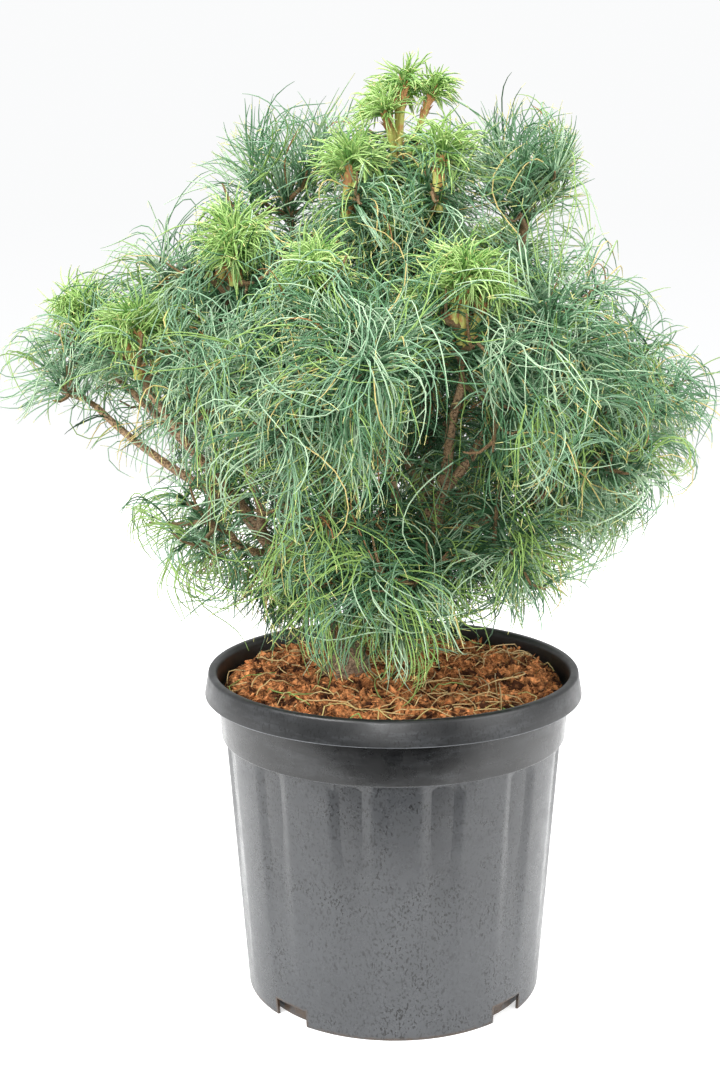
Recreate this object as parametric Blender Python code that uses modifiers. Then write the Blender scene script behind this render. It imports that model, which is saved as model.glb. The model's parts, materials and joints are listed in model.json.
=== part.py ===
# Potted squiggles eastern white pine.
# A ribbed nursery pot full of coir carries a short flared trunk that forks into leaders and boughs.
# Long twisted needles hang from the boughs in separate masses, with young candles on the high ones.
# Metres, +Z up. The pot's flat underside rests on Z = 0 with its axis through the origin,
# and the plant is seen from the front along +Y.

import math
import random
from collections import namedtuple

import bmesh
import bpy
import numpy as np
from mathutils import Matrix, Vector

CM = 0.01
MM = 0.001
GAP = 0.35 * MM
WELD = 0.01 * MM

# Pot
POT_SIDES = 32
POT_HEIGHT = 27.6 * CM
FOOT_RADIUS = 12.49 * CM
BODY_TOP_RADIUS = 14.1 * CM
BAND_BOTTOM = 21.98 * CM
BAND_LOW_RADIUS = 14.44 * CM
BAND_HIGH_RADIUS = 14.7 * CM
SKIRT_BOTTOM = 25.56 * CM
SKIRT_RADIUS = 15.79 * CM
RIM_OUTER_RADIUS = 15.44 * CM
RIM_INNER_RADIUS = 14.72 * CM
RIM_DROP = 0.35 * CM
WALL = 2.5 * MM
UNDERSIDE_RADIUS = 8.2 * CM
CHANNEL_HEIGHT = 1.6 * CM
NOTCH_COUNT = 4
NOTCH_WIDTH = 3.3 * CM
NOTCH_HEIGHT = 1.45 * CM
NOTCH_TURN = math.radians(2.0)

# Substrate
SUBSTRATE_TOP = 26.5 * CM
SUBSTRATE_EDGE = 26.0 * CM
SUBSTRATE_LUMP = 0.45 * CM
SUBSTRATE_RINGS = (4.5 * CM, 8.5 * CM, 11.6 * CM, 13.4 * CM)
SEAT_RADIUS = 7.5 * CM

# Trunk, in centimetres across and up, with its radius in millimetres at each height
TRUNK_FOOT = (-3.8, 1.0)
TRUNK_LEAN = (-0.6, 0.0)
TRUNK_LENGTH = 4.2 * CM
TRUNK_FLARE = 23 * MM
TRUNK_NECK = 13.5 * MM
TRUNK_STEPS = 7
FLARE_POWER = 2.6

# Limbs
LIMB_STEPS = 5
LIMB_WOBBLE = 1.5 * MM
LEADER_SIDES = 8
BOUGH_SIDES = 6

# Needles and twigs
SEED = 4107
GOLDEN_TURN = math.pi * (3 - math.sqrt(5))
STEM_STEPS = 2
STEM_RADIUS = 2.6 * MM
TWIG_RADIUS = 1.8 * MM
BUD_RADIUS = 3.6 * MM
TWIG_ANGLE = math.radians(58)
TWIG_LIFT = 0.3
FIRST_TWIG = 0.35
WHORL_CONE = math.radians(52)
SPRAYS_ON_TWIG = 3
SPRAY_EDGES = (
    (0.0, 1.4 * MM, 1.4 * MM),
    (0.36, 12.5 * MM, 3.0 * MM),
    (0.68, 3.0 * MM, 11.0 * MM),
    (1.0, 0.0, 0.0),
)
SPRAY_THICKNESS = 2.4 * MM
SPRAY_CURL = math.radians(30)
SPRAY_TRIES = (1.0, 0.85, 0.7, 0.55)
SPRAY_TURNS = (0.0, 0.45, -0.45)
SPRAY_APART = 6 * MM
ROOT_SHARE = 0.3
CURVE_STEPS = 20
FULL_BEND = math.radians(135)
LOWEST_ELEVATION = math.radians(-97)
CANDLE_LENGTH = 7.0 * CM
CANDLE_STATIONS = (0.0, 0.34, 0.58, 0.78, 1.0)
CANDLE_RADII = (1.8 * MM, 1.6 * MM, 13.0 * MM, 9.0 * MM, 0.0)
CANDLE_LEAN = 0.35
CANDLE_CLAIM = (0.3, 0.6, 0.9)
SPRAY_PITCH = 4 * MM
SPACE_MARGIN = 2.5 * MM
SAMPLE_STEP = 3 * MM
LIMB_CLEARANCE = 0.8 * MM
LOWEST_NEEDLE = 28.2 * CM
FLAT_ENOUGH = math.radians(0.8)
KEPT_TRIANGLES = 0.78

# Each limb springs from its parent at a share of its length and ends at a tip in centimetres.
# bow pushes its middle off the straight line, and the radii are in millimetres.
Limb = namedtuple("Limb", "parent share tip bow foot_radius tip_radius")

LEADERS = {
    "leader_left": Limb("trunk", 0.80, (-13.4, 0.0, 42.4), (0.0, 0.0, -0.4), 8.0, 5.2),
    "leader_right": Limb("trunk", 0.97, (3.6, -0.5, 39.6), (1.2, 0.0, -1.4), 9.5, 6.4),
    "leader_top": Limb("leader_right", 0.80, (0.5, 0.3, 66.0), (2.4, 3.6, 2.0), 7.0, 3.2),
}

BOUGHS = {
    "bough_left_low": Limb("leader_left", 0.90, (-24.0, -0.8, 49.6), (-1.0, -0.8, -0.6), 4.0, 2.6),
    "bough_left_high": Limb("leader_left", 0.99, (-24.0, 2.2, 52.8), (0.2, 1.4, 0.2), 4.2, 2.6),
    "bough_left_candle": Limb("leader_left", 0.82, (-19.3, -4.2, 51.2), (-0.6, -1.4, 0.6), 4.0, 2.6),
    "bough_shoulder": Limb("leader_left", 0.45, (-13.6, -3.2, 56.2), (3.0, -0.8, -1.0), 5.0, 3.0),
    "bough_low_left": Limb("leader_left", 0.60, (-13.0, -5.0, 40.0), (-0.8, -1.0, -1.2), 3.6, 2.6),
    "bough_left_fall": Limb("leader_left", 0.70, (-12.0, -8.2, 49.0), (0.8, -1.6, -1.6), 4.2, 2.6),
    "bough_cascade": Limb("leader_right", 0.34, (-6.6, -11.4, 49.0), (-0.6, -3.0, -1.6), 4.4, 2.6),
    "bough_mop": Limb("leader_right", 0.76, (-2.2, -14.2, 52.2), (-0.4, -1.2, -1.4), 4.4, 2.8),
    "bough_middle": Limb("leader_right", 0.91, (-4.0, -9.4, 56.4), (1.8, 0.2, 0.0), 4.2, 2.6),
    "bough_front": Limb("leader_right", 0.99, (5.2, -8.6, 52.6), (-0.4, 0.4, 0.0), 5.2, 3.2),
    "bough_right": Limb("bough_front", 0.22, (9.2, -5.4, 53.6), (0.8, -0.8, -1.6), 4.4, 2.8),
    "bough_far_right": Limb("leader_right", 0.90, (18.6, -0.4, 47.0), (1.6, 0.4, -2.2), 4.4, 2.8),
    "bough_right_fall": Limb("bough_far_right", 0.34, (13.2, -6.4, 44.6), (0.4, -1.2, -0.4), 3.6, 2.6),
    "bough_low_right": Limb("leader_right", 0.56, (13.0, 3.0, 38.8), (0.6, 0.6, -0.8), 3.8, 2.6),
    "bough_top_left": Limb("leader_top", 0.52, (-7.8, 2.4, 62.2), (-1.6, 0.0, -1.0), 3.8, 2.6),
    "bough_top_right": Limb("leader_top", 0.30, (10.4, 2.0, 62.2), (2.0, 0.0, -2.0), 4.2, 2.6),
    "bough_back_left_high": Limb("leader_top", 0.40, (-7.6, 10.0, 56.4), (-1.2, 1.0, -1.2), 3.8, 2.6),
    "bough_back_right_high": Limb("leader_top", 0.46, (7.8, 10.4, 57.0), (1.0, 1.2, -1.2), 3.8, 2.6),
    "bough_back": Limb("leader_top", 0.18, (-1.4, 13.6, 50.0), (-0.6, 1.6, -1.6), 4.2, 2.6),
    "bough_back_left": Limb("leader_left", 0.76, (-16.2, 10.0, 47.2), (-0.4, 1.6, -1.0), 4.0, 2.6),
    "bough_back_right": Limb("leader_top", 0.09, (11.6, 11.4, 46.4), (1.0, 1.4, -1.2), 4.2, 2.6),
}

# Each mass of foliage grows from a limb at a share of its length to a head in centimetres.
# It has side twigs of a length in centimetres, needles of a length in centimetres that hang
# by a share of the full bend, and young candles on top.
Mass = namedtuple("Mass", "limb share head twigs twig needle hang candles")

MASSES = {
    "needles_crest": Mass("leader_top", 1.0, (0.5, 0.2, 69.6), 3, 3.4, 7.5, 0.75, 5),
    "needles_crest_left": Mass("leader_top", 0.80, (-3.6, -3.6, 66.0), 2, 3.8, 8.0, 0.80, 3),
    "needles_crest_right": Mass("leader_top", 0.84, (3.7, -3.2, 66.4), 2, 3.8, 8.0, 0.80, 3),
    "needles_crest_back": Mass("leader_top", 0.72, (0.8, 5.6, 64.8), 3, 4.2, 8.5, 0.75, 2),
    "needles_top_left": Mass("bough_top_left", 1.0, (-8.6, 2.0, 66.0), 3, 4.4, 9.5, 0.42, 0),
    "needles_top_right": Mass("bough_top_right", 1.0, (11.0, 1.6, 66.2), 4, 4.8, 9.5, 0.45, 1),
    "needles_shoulder": Mass("bough_shoulder", 1.0, (-12.2, -6.4, 61.0), 4, 5.2, 9.0, 0.80, 5),
    "needles_left_whorl": Mass("bough_shoulder", 0.97, (-18.0, -0.6, 58.6), 3, 4.6, 9.5, 0.75, 0),
    "needles_left_high": Mass("bough_left_high", 1.0, (-25.2, 2.0, 55.0), 3, 3.2, 7.5, 0.65, 3),
    "needles_left_low": Mass("bough_left_low", 1.0, (-26.0, -1.4, 51.4), 3, 4.0, 9.0, 0.85, 0),
    "needles_left_candle": Mass("bough_left_candle", 1.0, (-19.8, -5.4, 53.8), 3, 3.6, 8.0, 0.80, 4),
    "needles_left_fall": Mass("bough_left_fall", 1.0, (-13.0, -11.6, 52.2), 4, 4.8, 10.5, 0.95, 0),
    "needles_low_left": Mass("bough_low_left", 1.0, (-15.0, -7.0, 41.4), 4, 4.6, 10.5, 0.95, 0),
    "needles_cascade": Mass("bough_cascade", 1.0, (-7.4, -15.2, 51.4), 4, 4.6, 11.0, 0.95, 0),
    "needles_middle": Mass("bough_middle", 1.0, (-6.0, -12.0, 59.2), 3, 3.8, 8.0, 0.80, 3),
    "needles_mop": Mass("bough_mop", 1.0, (-2.1, -17.4, 54.8), 3, 3.0, 11.5, 1.00, 0),
    "needles_front": Mass("bough_front", 1.0, (4.9, -10.8, 56.8), 4, 4.2, 8.5, 0.85, 5),
    "needles_front_fall": Mass("bough_front", 0.96, (9.0, -13.0, 50.6), 3, 4.2, 10.5, 0.95, 0),
    "needles_right": Mass("bough_right", 1.0, (11.6, -8.4, 57.0), 4, 4.8, 11.0, 0.90, 0),
    "needles_right_fall": Mass("bough_right_fall", 1.0, (16.0, -7.6, 46.6), 4, 4.4, 10.0, 0.95, 0),
    "needles_far_right": Mass("bough_far_right", 1.0, (20.2, 0.0, 50.6), 4, 4.6, 9.0, 0.85, 0),
    "needles_low_right": Mass("bough_low_right", 1.0, (16.4, 3.4, 40.6), 4, 4.6, 10.0, 0.90, 0),
    "needles_low_front_right": Mass("leader_right", 0.66, (9.8, -9.4, 40.0), 4, 4.8, 10.5, 0.95, 0),
    "needles_low_front": Mass("leader_right", 0.42, (1.6, -11.4, 37.4), 4, 4.6, 9.5, 0.95, 0),
    "needles_low_middle": Mass("leader_right", 0.24, (-5.6, -13.2, 43.0), 4, 4.6, 10.5, 0.95, 0),
    "needles_back_left_high": Mass("bough_back_left_high", 1.0, (-9.6, 12.0, 59.6), 4, 5.0, 10.0, 0.80, 3),
    "needles_back_right_high": Mass("bough_back_right_high", 1.0, (9.6, 12.4, 60.2), 4, 5.0, 10.0, 0.80, 3),
    "needles_back": Mass("bough_back", 1.0, (-2.0, 17.2, 53.2), 4, 5.0, 11.0, 0.95, 0),
    "needles_back_left": Mass("bough_back_left", 1.0, (-18.6, 12.4, 50.2), 4, 5.0, 10.5, 0.90, 2),
    "needles_back_right": Mass("bough_back_right", 1.0, (14.0, 13.8, 48.8), 4, 5.0, 10.5, 0.90, 0),
    "needles_low_back_left": Mass("leader_left", 0.30, (-9.6, 13.4, 40.6), 4, 5.0, 10.5, 0.95, 0),
    "needles_low_back_right": Mass("leader_right", 0.50, (5.4, 12.8, 39.6), 4, 5.0, 10.5, 0.95, 0),
}


def in_cm(numbers):
    """A point given in centimetres, as an array in metres."""
    return np.array(numbers, float) * CM


def clear_scene():
    """Remove whatever objects the open scene holds."""
    for obj in list(bpy.data.objects):
        bpy.data.objects.remove(obj, do_unlink=True)


def new_collection(name):
    """A collection linked to the scene."""
    collection = bpy.data.collections.new(name)
    bpy.context.scene.collection.children.link(collection)
    return collection


def new_material(name, colour, roughness):
    """A Principled material with a colour and a roughness, and no metal."""
    material = bpy.data.materials.new(name)
    material.use_nodes = True
    shader = material.node_tree.nodes["Principled BSDF"]
    shader.inputs["Base Color"].default_value = (*colour, 1.0)
    shader.inputs["Roughness"].default_value = roughness
    shader.inputs["Metallic"].default_value = 0.0
    return material


def link_mesh(name, mesh, collection, material=None):
    """Put a mesh in the scene as an object."""
    obj = bpy.data.objects.new(name, mesh)
    collection.objects.link(obj)
    if material:
        mesh.materials.clear()
        mesh.materials.append(material)
    return obj


def hide_cutter(obj):
    """Mark an object as a cutter, which is no piece of the plant."""
    obj.hide_render = True
    obj.display_type = "WIRE"


def baked_mesh(obj, name, weld=0.0):
    """The object's evaluated mesh in place, with loose caps welded on and its faces pointing out."""
    depsgraph = bpy.context.evaluated_depsgraph_get()
    mesh = bpy.data.meshes.new_from_object(obj.evaluated_get(depsgraph), depsgraph=depsgraph)
    mesh.name = name
    mesh.transform(obj.matrix_world)
    bm = bmesh.new()
    bm.from_mesh(mesh)
    if weld:
        bmesh.ops.remove_doubles(bm, verts=bm.verts, dist=weld)
    bmesh.ops.recalc_face_normals(bm, faces=bm.faces)
    bm.to_mesh(mesh)
    bm.free()
    return mesh


# Turned pieces

def turned(name, profile, collection, material):
    """A solid turned about the Z axis from points of radius and height."""
    mesh = bpy.data.meshes.new(name)
    points = [(radius, 0.0, height) for radius, height in profile]
    edges = [(i, i + 1) for i in range(len(points) - 1)]
    mesh.from_pydata(points, edges, [])
    obj = link_mesh(name, mesh, collection, material)
    screw = obj.modifiers.new("turn", "SCREW")
    screw.steps = POT_SIDES
    screw.render_steps = POT_SIDES
    screw.use_merge_vertices = True
    screw.merge_threshold = WELD
    return obj


def wall_radius(height):
    """Outer radius of the tapered wall below the band."""
    return FOOT_RADIUS + (BODY_TOP_RADIUS - FOOT_RADIUS) * height / BAND_BOTTOM


def pot_inside():
    """The pot's inner faces from the axis to just under the rim, as radius and height."""
    well = UNDERSIDE_RADIUS - WALL
    shelf = CHANNEL_HEIGHT + WALL
    return [
        (0.0, WALL),
        (well, WALL),
        (well, shelf),
        (wall_radius(shelf) - WALL, shelf),
        (BODY_TOP_RADIUS - WALL, BAND_BOTTOM),
        (BAND_LOW_RADIUS - WALL, BAND_BOTTOM + WALL),
        (RIM_INNER_RADIUS - WALL, SKIRT_BOTTOM),
    ]


def pot_profile():
    """The whole closed section: inside, over the rolled rim, down the outside and underneath."""
    return pot_inside() + [
        (RIM_INNER_RADIUS, POT_HEIGHT - RIM_DROP),
        (RIM_INNER_RADIUS + 0.3 * (RIM_OUTER_RADIUS - RIM_INNER_RADIUS), POT_HEIGHT),
        (RIM_OUTER_RADIUS - 1.5 * MM, POT_HEIGHT),
        (RIM_OUTER_RADIUS, POT_HEIGHT - 1.5 * MM),
        (SKIRT_RADIUS, SKIRT_BOTTOM),
        (SKIRT_RADIUS - WALL, SKIRT_BOTTOM),
        (RIM_OUTER_RADIUS - WALL, POT_HEIGHT - 2 * WALL),
        (BAND_HIGH_RADIUS, POT_HEIGHT - 2 * WALL),
        (BAND_HIGH_RADIUS, SKIRT_BOTTOM),
        (BAND_LOW_RADIUS, BAND_BOTTOM),
        (BODY_TOP_RADIUS, BAND_BOTTOM),
        (FOOT_RADIUS, 0.0),
        (FOOT_RADIUS - WALL, 0.0),
        (wall_radius(CHANNEL_HEIGHT) - WALL, CHANNEL_HEIGHT),
        (UNDERSIDE_RADIUS, CHANNEL_HEIGHT),
        (UNDERSIDE_RADIUS, 0.0),
        (0.0, 0.0),
    ]


def build_pot(collection, cutters, material):
    """The nursery pot: a thin turned shell with a notched foot."""
    pot = turned("pot", pot_profile(), collection, material)
    for k in range(NOTCH_COUNT):
        turn = NOTCH_TURN + math.pi / NOTCH_COUNT + k * 2 * math.pi / NOTCH_COUNT
        bpy.ops.mesh.primitive_cube_add(size=1.0)
        notch = bpy.context.object
        notch.name = f"notch_{k + 1}"
        notch.dimensions = (NOTCH_WIDTH, 2.4 * CM, 2 * NOTCH_HEIGHT)
        notch.location = (FOOT_RADIUS * math.sin(turn), -FOOT_RADIUS * math.cos(turn), 0.0)
        notch.rotation_euler.z = turn
        for owner in list(notch.users_collection):
            owner.objects.unlink(notch)
        cutters.objects.link(notch)
        hide_cutter(notch)
        cut = pot.modifiers.new(notch.name, "BOOLEAN")
        cut.operation = "DIFFERENCE"
        cut.object = notch
    return pot


def build_substrate(collection, material):
    """The coir that fills the pot, a gap clear of it, lumpy on top and flat under the trunk."""
    wall = [(radius - (GAP if radius else 0.0), height + GAP) for radius, height in pot_inside()[:-1]]
    edge = (BAND_LOW_RADIUS - WALL - GAP, SUBSTRATE_EDGE)
    top = [(radius, SUBSTRATE_TOP) for radius in reversed(SUBSTRATE_RINGS)]
    # The shell is drawn from the top centre down to the bottom one, so that its faces point out
    profile = [(0.0, SUBSTRATE_TOP)] + top[::-1] + [edge] + wall[::-1]
    obj = turned("substrate", profile, collection, material)
    mesh = baked_mesh(obj, "substrate", WELD)
    bpy.data.objects.remove(obj, do_unlink=True)
    rng = random.Random(SEED)
    foot = in_cm(TRUNK_FOOT)
    for vertex in mesh.vertices:
        across = math.dist(vertex.co[:2], foot)
        lump = rng.uniform(-1.0, 1.0) * SUBSTRATE_LUMP
        if vertex.co.z > SUBSTRATE_EDGE + MM and across > SEAT_RADIUS:
            vertex.co.z += lump
    return link_mesh("substrate", mesh, collection, material)


# Limbs

def bowed_path(start, tip, bow, steps, rng):
    """Points of a limb: a quadratic curve with a slight wobble that dies out at both ends."""
    handle = (start + tip) / 2 + bow
    phase = rng.uniform(0.0, 2 * math.pi)
    side = np.cross(tip - start, (0.0, 0.0, 1.0))
    side = side / (np.linalg.norm(side) + 1e-9)
    points = []
    for i in range(steps + 1):
        t = i / steps
        point = (1 - t) ** 2 * start + 2 * t * (1 - t) * handle + t * t * tip
        wobble = math.sin(2 * math.pi * 1.5 * t + phase) * 4 * t * (1 - t)
        points.append(point + side * LIMB_WOBBLE * wobble)
    return np.array(points)


def trunk_path():
    """Points and radii of the trunk from its flat cut at the substrate to its fork."""
    foot = np.array([*in_cm(TRUNK_FOOT), SUBSTRATE_TOP + GAP])
    lean = np.array([*in_cm(TRUNK_LEAN), TRUNK_LENGTH])
    points, radii = [], []
    for i in range(TRUNK_STEPS + 1):
        t = i / TRUNK_STEPS
        # The first step goes straight up, so that the foot is cut level
        sway = max(0, i - 1) / (TRUNK_STEPS - 1)
        points.append(foot + lean * np.array([sway * sway, sway * sway, t]))
        radii.append(TRUNK_NECK + (TRUNK_FLARE - TRUNK_NECK) * (1 - t) ** FLARE_POWER)
    return np.array(points), np.array(radii)


def along(path, share):
    """The point at a share of a path's length."""
    lengths = np.linalg.norm(np.diff(path, axis=0), axis=1)
    walked = np.concatenate([[0.0], np.cumsum(lengths)])
    return np.array([np.interp(share * walked[-1], walked, path[:, k]) for k in range(3)])


def limb_paths():
    """Points and radii of the trunk, the leaders and the boughs, by name."""
    paths = {"trunk": trunk_path()}
    for number, (name, limb) in enumerate({**LEADERS, **BOUGHS}.items()):
        rng = random.Random(SEED + number)
        start = along(paths[limb.parent][0], limb.share)
        points = bowed_path(start, in_cm(limb.tip), in_cm(limb.bow), LIMB_STEPS, rng)
        radii = np.linspace(limb.foot_radius, limb.tip_radius, LIMB_STEPS + 1) * MM
        paths[name] = (points, radii)
    return paths


def tube(name, points, radii, sides, collection, grow=0.0):
    """A closed tapering tube along points, as a mesh object; grow makes it larger all round."""
    curve = bpy.data.curves.new(name, "CURVE")
    curve.dimensions = "3D"
    curve.bevel_depth = 1.0
    curve.bevel_resolution = (sides - 4) // 2
    curve.use_fill_caps = True
    points = np.array(points)
    if grow:
        ahead = points[-1] - points[-2]
        points[-1] += ahead / np.linalg.norm(ahead) * grow
    spline = curve.splines.new("POLY")
    spline.points.add(len(points) - 1)
    for target, point, radius in zip(spline.points, points, radii):
        target.co = (*point, 1.0)
        target.radius = radius + grow
    obj = bpy.data.objects.new(name, curve)
    collection.objects.link(obj)
    bpy.context.view_layer.update()
    mesh = baked_mesh(obj, name, WELD)
    bpy.data.objects.remove(obj, do_unlink=True)
    bpy.data.curves.remove(curve)
    return link_mesh(name, mesh, collection)


def cut_clear(obj, cutter):
    """Cut a limb a gap clear of the grown copy of another."""
    cut = obj.modifiers.new(f"clear_of_{cutter.name}", "BOOLEAN")
    cut.operation = "DIFFERENCE"
    cut.object = cutter


def build_limbs(paths, collection, cutters, material):
    """The trunk, leaders and boughs, each cut clear of its parent and of nearby siblings."""
    sides = {name: LEADER_SIDES if name in LEADERS or name == "trunk" else BOUGH_SIDES for name in paths}
    grown = {}
    for name, (points, radii) in paths.items():
        grown[name] = tube(f"around_{name}", points, radii, sides[name], cutters, grow=GAP)
        hide_cutter(grown[name])
    done = []
    for name, (points, radii) in paths.items():
        limb = tube(name, points, radii, sides[name], collection)
        for other in done:
            if nearest_gap(*dense(points, radii), *paths[other]) < GAP:
                cut_clear(limb, grown[other])
        bake_skin(limb, material)
        done.append(name)
    return grown


# Distances

def nearest_gap(points, radii, path, path_radii):
    """Smallest gap between round samples and a round limb."""
    start, step = path[:-1], np.diff(path, axis=0)
    offset = points[:, None, :] - start[None]
    t = (offset * step[None]).sum(2) / (step ** 2).sum(1)[None]
    t = np.clip(t, 0.0, 1.0)
    apart = np.linalg.norm(offset - t[..., None] * step[None], axis=2)
    thickness = path_radii[:-1] + t * np.diff(path_radii)
    return float((apart - thickness - np.asarray(radii)[:, None]).min())


def dense(points, radii):
    """Samples along a chain of points at small steps, with their radii."""
    out, widths = [], []
    for a, b, ra, rb in zip(points[:-1], points[1:], radii[:-1], radii[1:]):
        count = max(1, math.ceil(np.linalg.norm(b - a) / SAMPLE_STEP))
        for i in range(count):
            out.append(a + (b - a) * i / count)
            widths.append(ra + (rb - ra) * i / count)
    return np.array(out + [points[-1]]), np.array(widths + [radii[-1]])


Spray = namedtuple("Spray", "root axis cone turn curl")


class Spaces:
    """The space of each mass: the points nearer to its own twigs and needles than to any other's."""

    def __init__(self, lines):
        self.lines = {name: np.array(points) for name, points in lines.items()}

    def holds(self, name, samples):
        """Whether all samples lie inside the mass's own space, clear of its border."""
        if (samples[:, 2] < LOWEST_NEEDLE).any():
            return False
        own = distances(samples, self.lines[name])
        for other, points in self.lines.items():
            if other != name and (distances(samples, points) - own < SPACE_MARGIN).any():
                return False
        return True


def distances(samples, points):
    """Distance from each sample to the nearest of some points."""
    return np.sqrt(((samples[:, None] - points[None]) ** 2).sum(2).min(1))


# Foliage

def turned_away(axis, angle, turn):
    """The axis tilted by an angle towards a turn around it."""
    axis = Vector(axis).normalized()
    side = axis.orthogonal().normalized()
    tilted = Matrix.Rotation(angle, 3, side) @ axis
    return np.array(Matrix.Rotation(turn, 3, axis) @ tilted)


def stem_paths(paths):
    """Points and radii of the stem of each mass, from its limb's axis to its head."""
    stems = {}
    for number, (name, mass) in enumerate(MASSES.items()):
        rng = random.Random(SEED + 100 + number)
        start = along(paths[mass.limb][0], mass.share)
        head = in_cm(mass.head)
        sag = np.array([0.0, 0.0, -0.08 * np.linalg.norm(head - start)])
        points = bowed_path(start, head, sag, STEM_STEPS, rng)
        stems[name] = (points, np.array([STEM_RADIUS] * STEM_STEPS + [BUD_RADIUS]))
    return stems


def twig_paths(mass, stem, rng):
    """Side twigs of a mass, set by the golden turn round its stem and lifted at their tips."""
    twigs = []
    phase = rng.uniform(0.0, 2 * math.pi)
    ahead = stem[-1] - stem[-2]
    for k in range(mass.twigs):
        root = along(stem, FIRST_TWIG + (0.92 - FIRST_TWIG) * k / max(1, mass.twigs - 1))
        length = mass.twig * CM * rng.uniform(0.85, 1.1)
        heading = turned_away(ahead, TWIG_ANGLE, phase + GOLDEN_TURN * k)
        middle = root + heading * length * 0.55
        heading[2] += TWIG_LIFT
        tip = middle + heading / np.linalg.norm(heading) * length * 0.45
        twigs.append(np.array([root, middle, tip]))
    return twigs


def hanging_curve(start, heading, length, hang, curl, steps=CURVE_STEPS):
    """A needle's line: it leaves along its heading, then bends down evenly and turns by curl."""
    heading = heading / np.linalg.norm(heading)
    elevation = math.asin(max(-1.0, min(1.0, heading[2])))
    azimuth = math.atan2(heading[1], heading[0])
    last = max(LOWEST_ELEVATION, elevation - hang * FULL_BEND)
    points = [start]
    for i in range(steps):
        t = (i + 0.5) / steps
        tilt = elevation + (last - elevation) * t
        turn = azimuth + curl * t
        step = np.array([math.cos(tilt) * math.cos(turn), math.cos(tilt) * math.sin(turn), math.sin(tilt)])
        points.append(points[-1] + step * length / steps)
    return np.array(points)


def lofted(name, rings, collection):
    """A closed solid through rings of three corners, where a ring of one corner is a point."""
    bm = bmesh.new()
    corners = [[bm.verts.new(corner) for corner in ring] for ring in rings]
    bm.faces.new(corners[0])
    for low, high in zip(corners[:-1], corners[1:]):
        for k in range(3):
            after = (k + 1) % 3
            if len(high) == 1:
                bm.faces.new((low[k], low[after], high[0]))
            else:
                bm.faces.new((low[k], low[after], high[after]))
                bm.faces.new((low[k], high[after], high[k]))
    if len(corners[-1]) > 1:
        bm.faces.new(corners[-1])
    bmesh.ops.recalc_face_normals(bm, faces=bm.faces)
    mesh = bpy.data.meshes.new(name)
    bm.to_mesh(mesh)
    bm.free()
    return link_mesh(name, mesh, collection)


def round_rings(points, radii, facing):
    """Three-cornered rings square to a path, with one flat side turned to face a heading."""
    rings = []
    side = -Vector(facing)
    for i, (point, radius) in enumerate(zip(points, radii)):
        if radius == 0.0:
            rings.append([point])
            continue
        ahead = Vector(points[min(i + 1, len(points) - 1)] - points[max(i - 1, 0)]).normalized()
        across = (side - ahead * side.dot(ahead)).normalized()
        ring = [Matrix.Rotation(k * 2 * math.pi / 3, 3, ahead) @ across * radius for k in range(3)]
        rings.append([np.array(corner) + point for corner in ring])
    return rings


def spray_rings(curve, scale):
    """Rings of a toothed blade, whose teeth stand out to the left and right by turns."""
    across = np.cross(curve[1] - curve[0], (0.0, 0.0, 1.0))
    if np.linalg.norm(across) < 1e-6:
        across = np.array([1.0, 0.0, 0.0])
    across = across / np.linalg.norm(across)
    rings, centres, widths = [], [], []
    for share, left, right in SPRAY_EDGES:
        i = round(share * CURVE_STEPS)
        ahead = curve[min(i + 1, CURVE_STEPS)] - curve[max(i - 1, 0)]
        out = np.cross(across, ahead)
        out = out / (np.linalg.norm(out) + 1e-12)
        centres.append(curve[i])
        widths.append(max(left, right) * scale)
        if left == 0.0:
            rings.append([curve[i]])
        else:
            low = curve[i] - out * SPRAY_THICKNESS * 0.5
            high = curve[i] + out * SPRAY_THICKNESS * 0.5
            rings.append([low + across * left * scale, low - across * right * scale, high])
    return rings, np.array(centres), widths


def whorls(mass, stem, rng):
    """The whorls of a mass: for each shoot its path and the sprays planned round its end."""
    shoots = []
    for path in twig_paths(mass, stem, rng) + [stem]:
        axis = path[-1] - path[-2]
        axis = axis / np.linalg.norm(axis)
        phase = rng.uniform(0.0, 2 * math.pi)
        sprays = []
        for k in range(SPRAYS_ON_TWIG):
            root = path[-1] - axis * (3 * MM + k * SPRAY_PITCH)
            cone = WHORL_CONE * rng.uniform(0.85, 1.15)
            turn = phase + k * 2 * math.pi / SPRAYS_ON_TWIG
            sprays.append(Spray(root, axis, cone, turn, SPRAY_CURL * rng.uniform(-1.0, 1.0)))
        shoots.append((path, sprays))
    return shoots


def space_points(shoots, mass):
    """Points on the twigs and candles of a mass, which claim its space."""
    points = []
    for path, _ in shoots:
        points += list(dense(path[1:], np.zeros(len(path) - 1))[0])
    if mass.candles:
        top = shoots[-1][0][-1]
        points += [top + np.array([0.0, 0.0, CANDLE_LENGTH * share]) for share in CANDLE_CLAIM]
    return points


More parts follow.
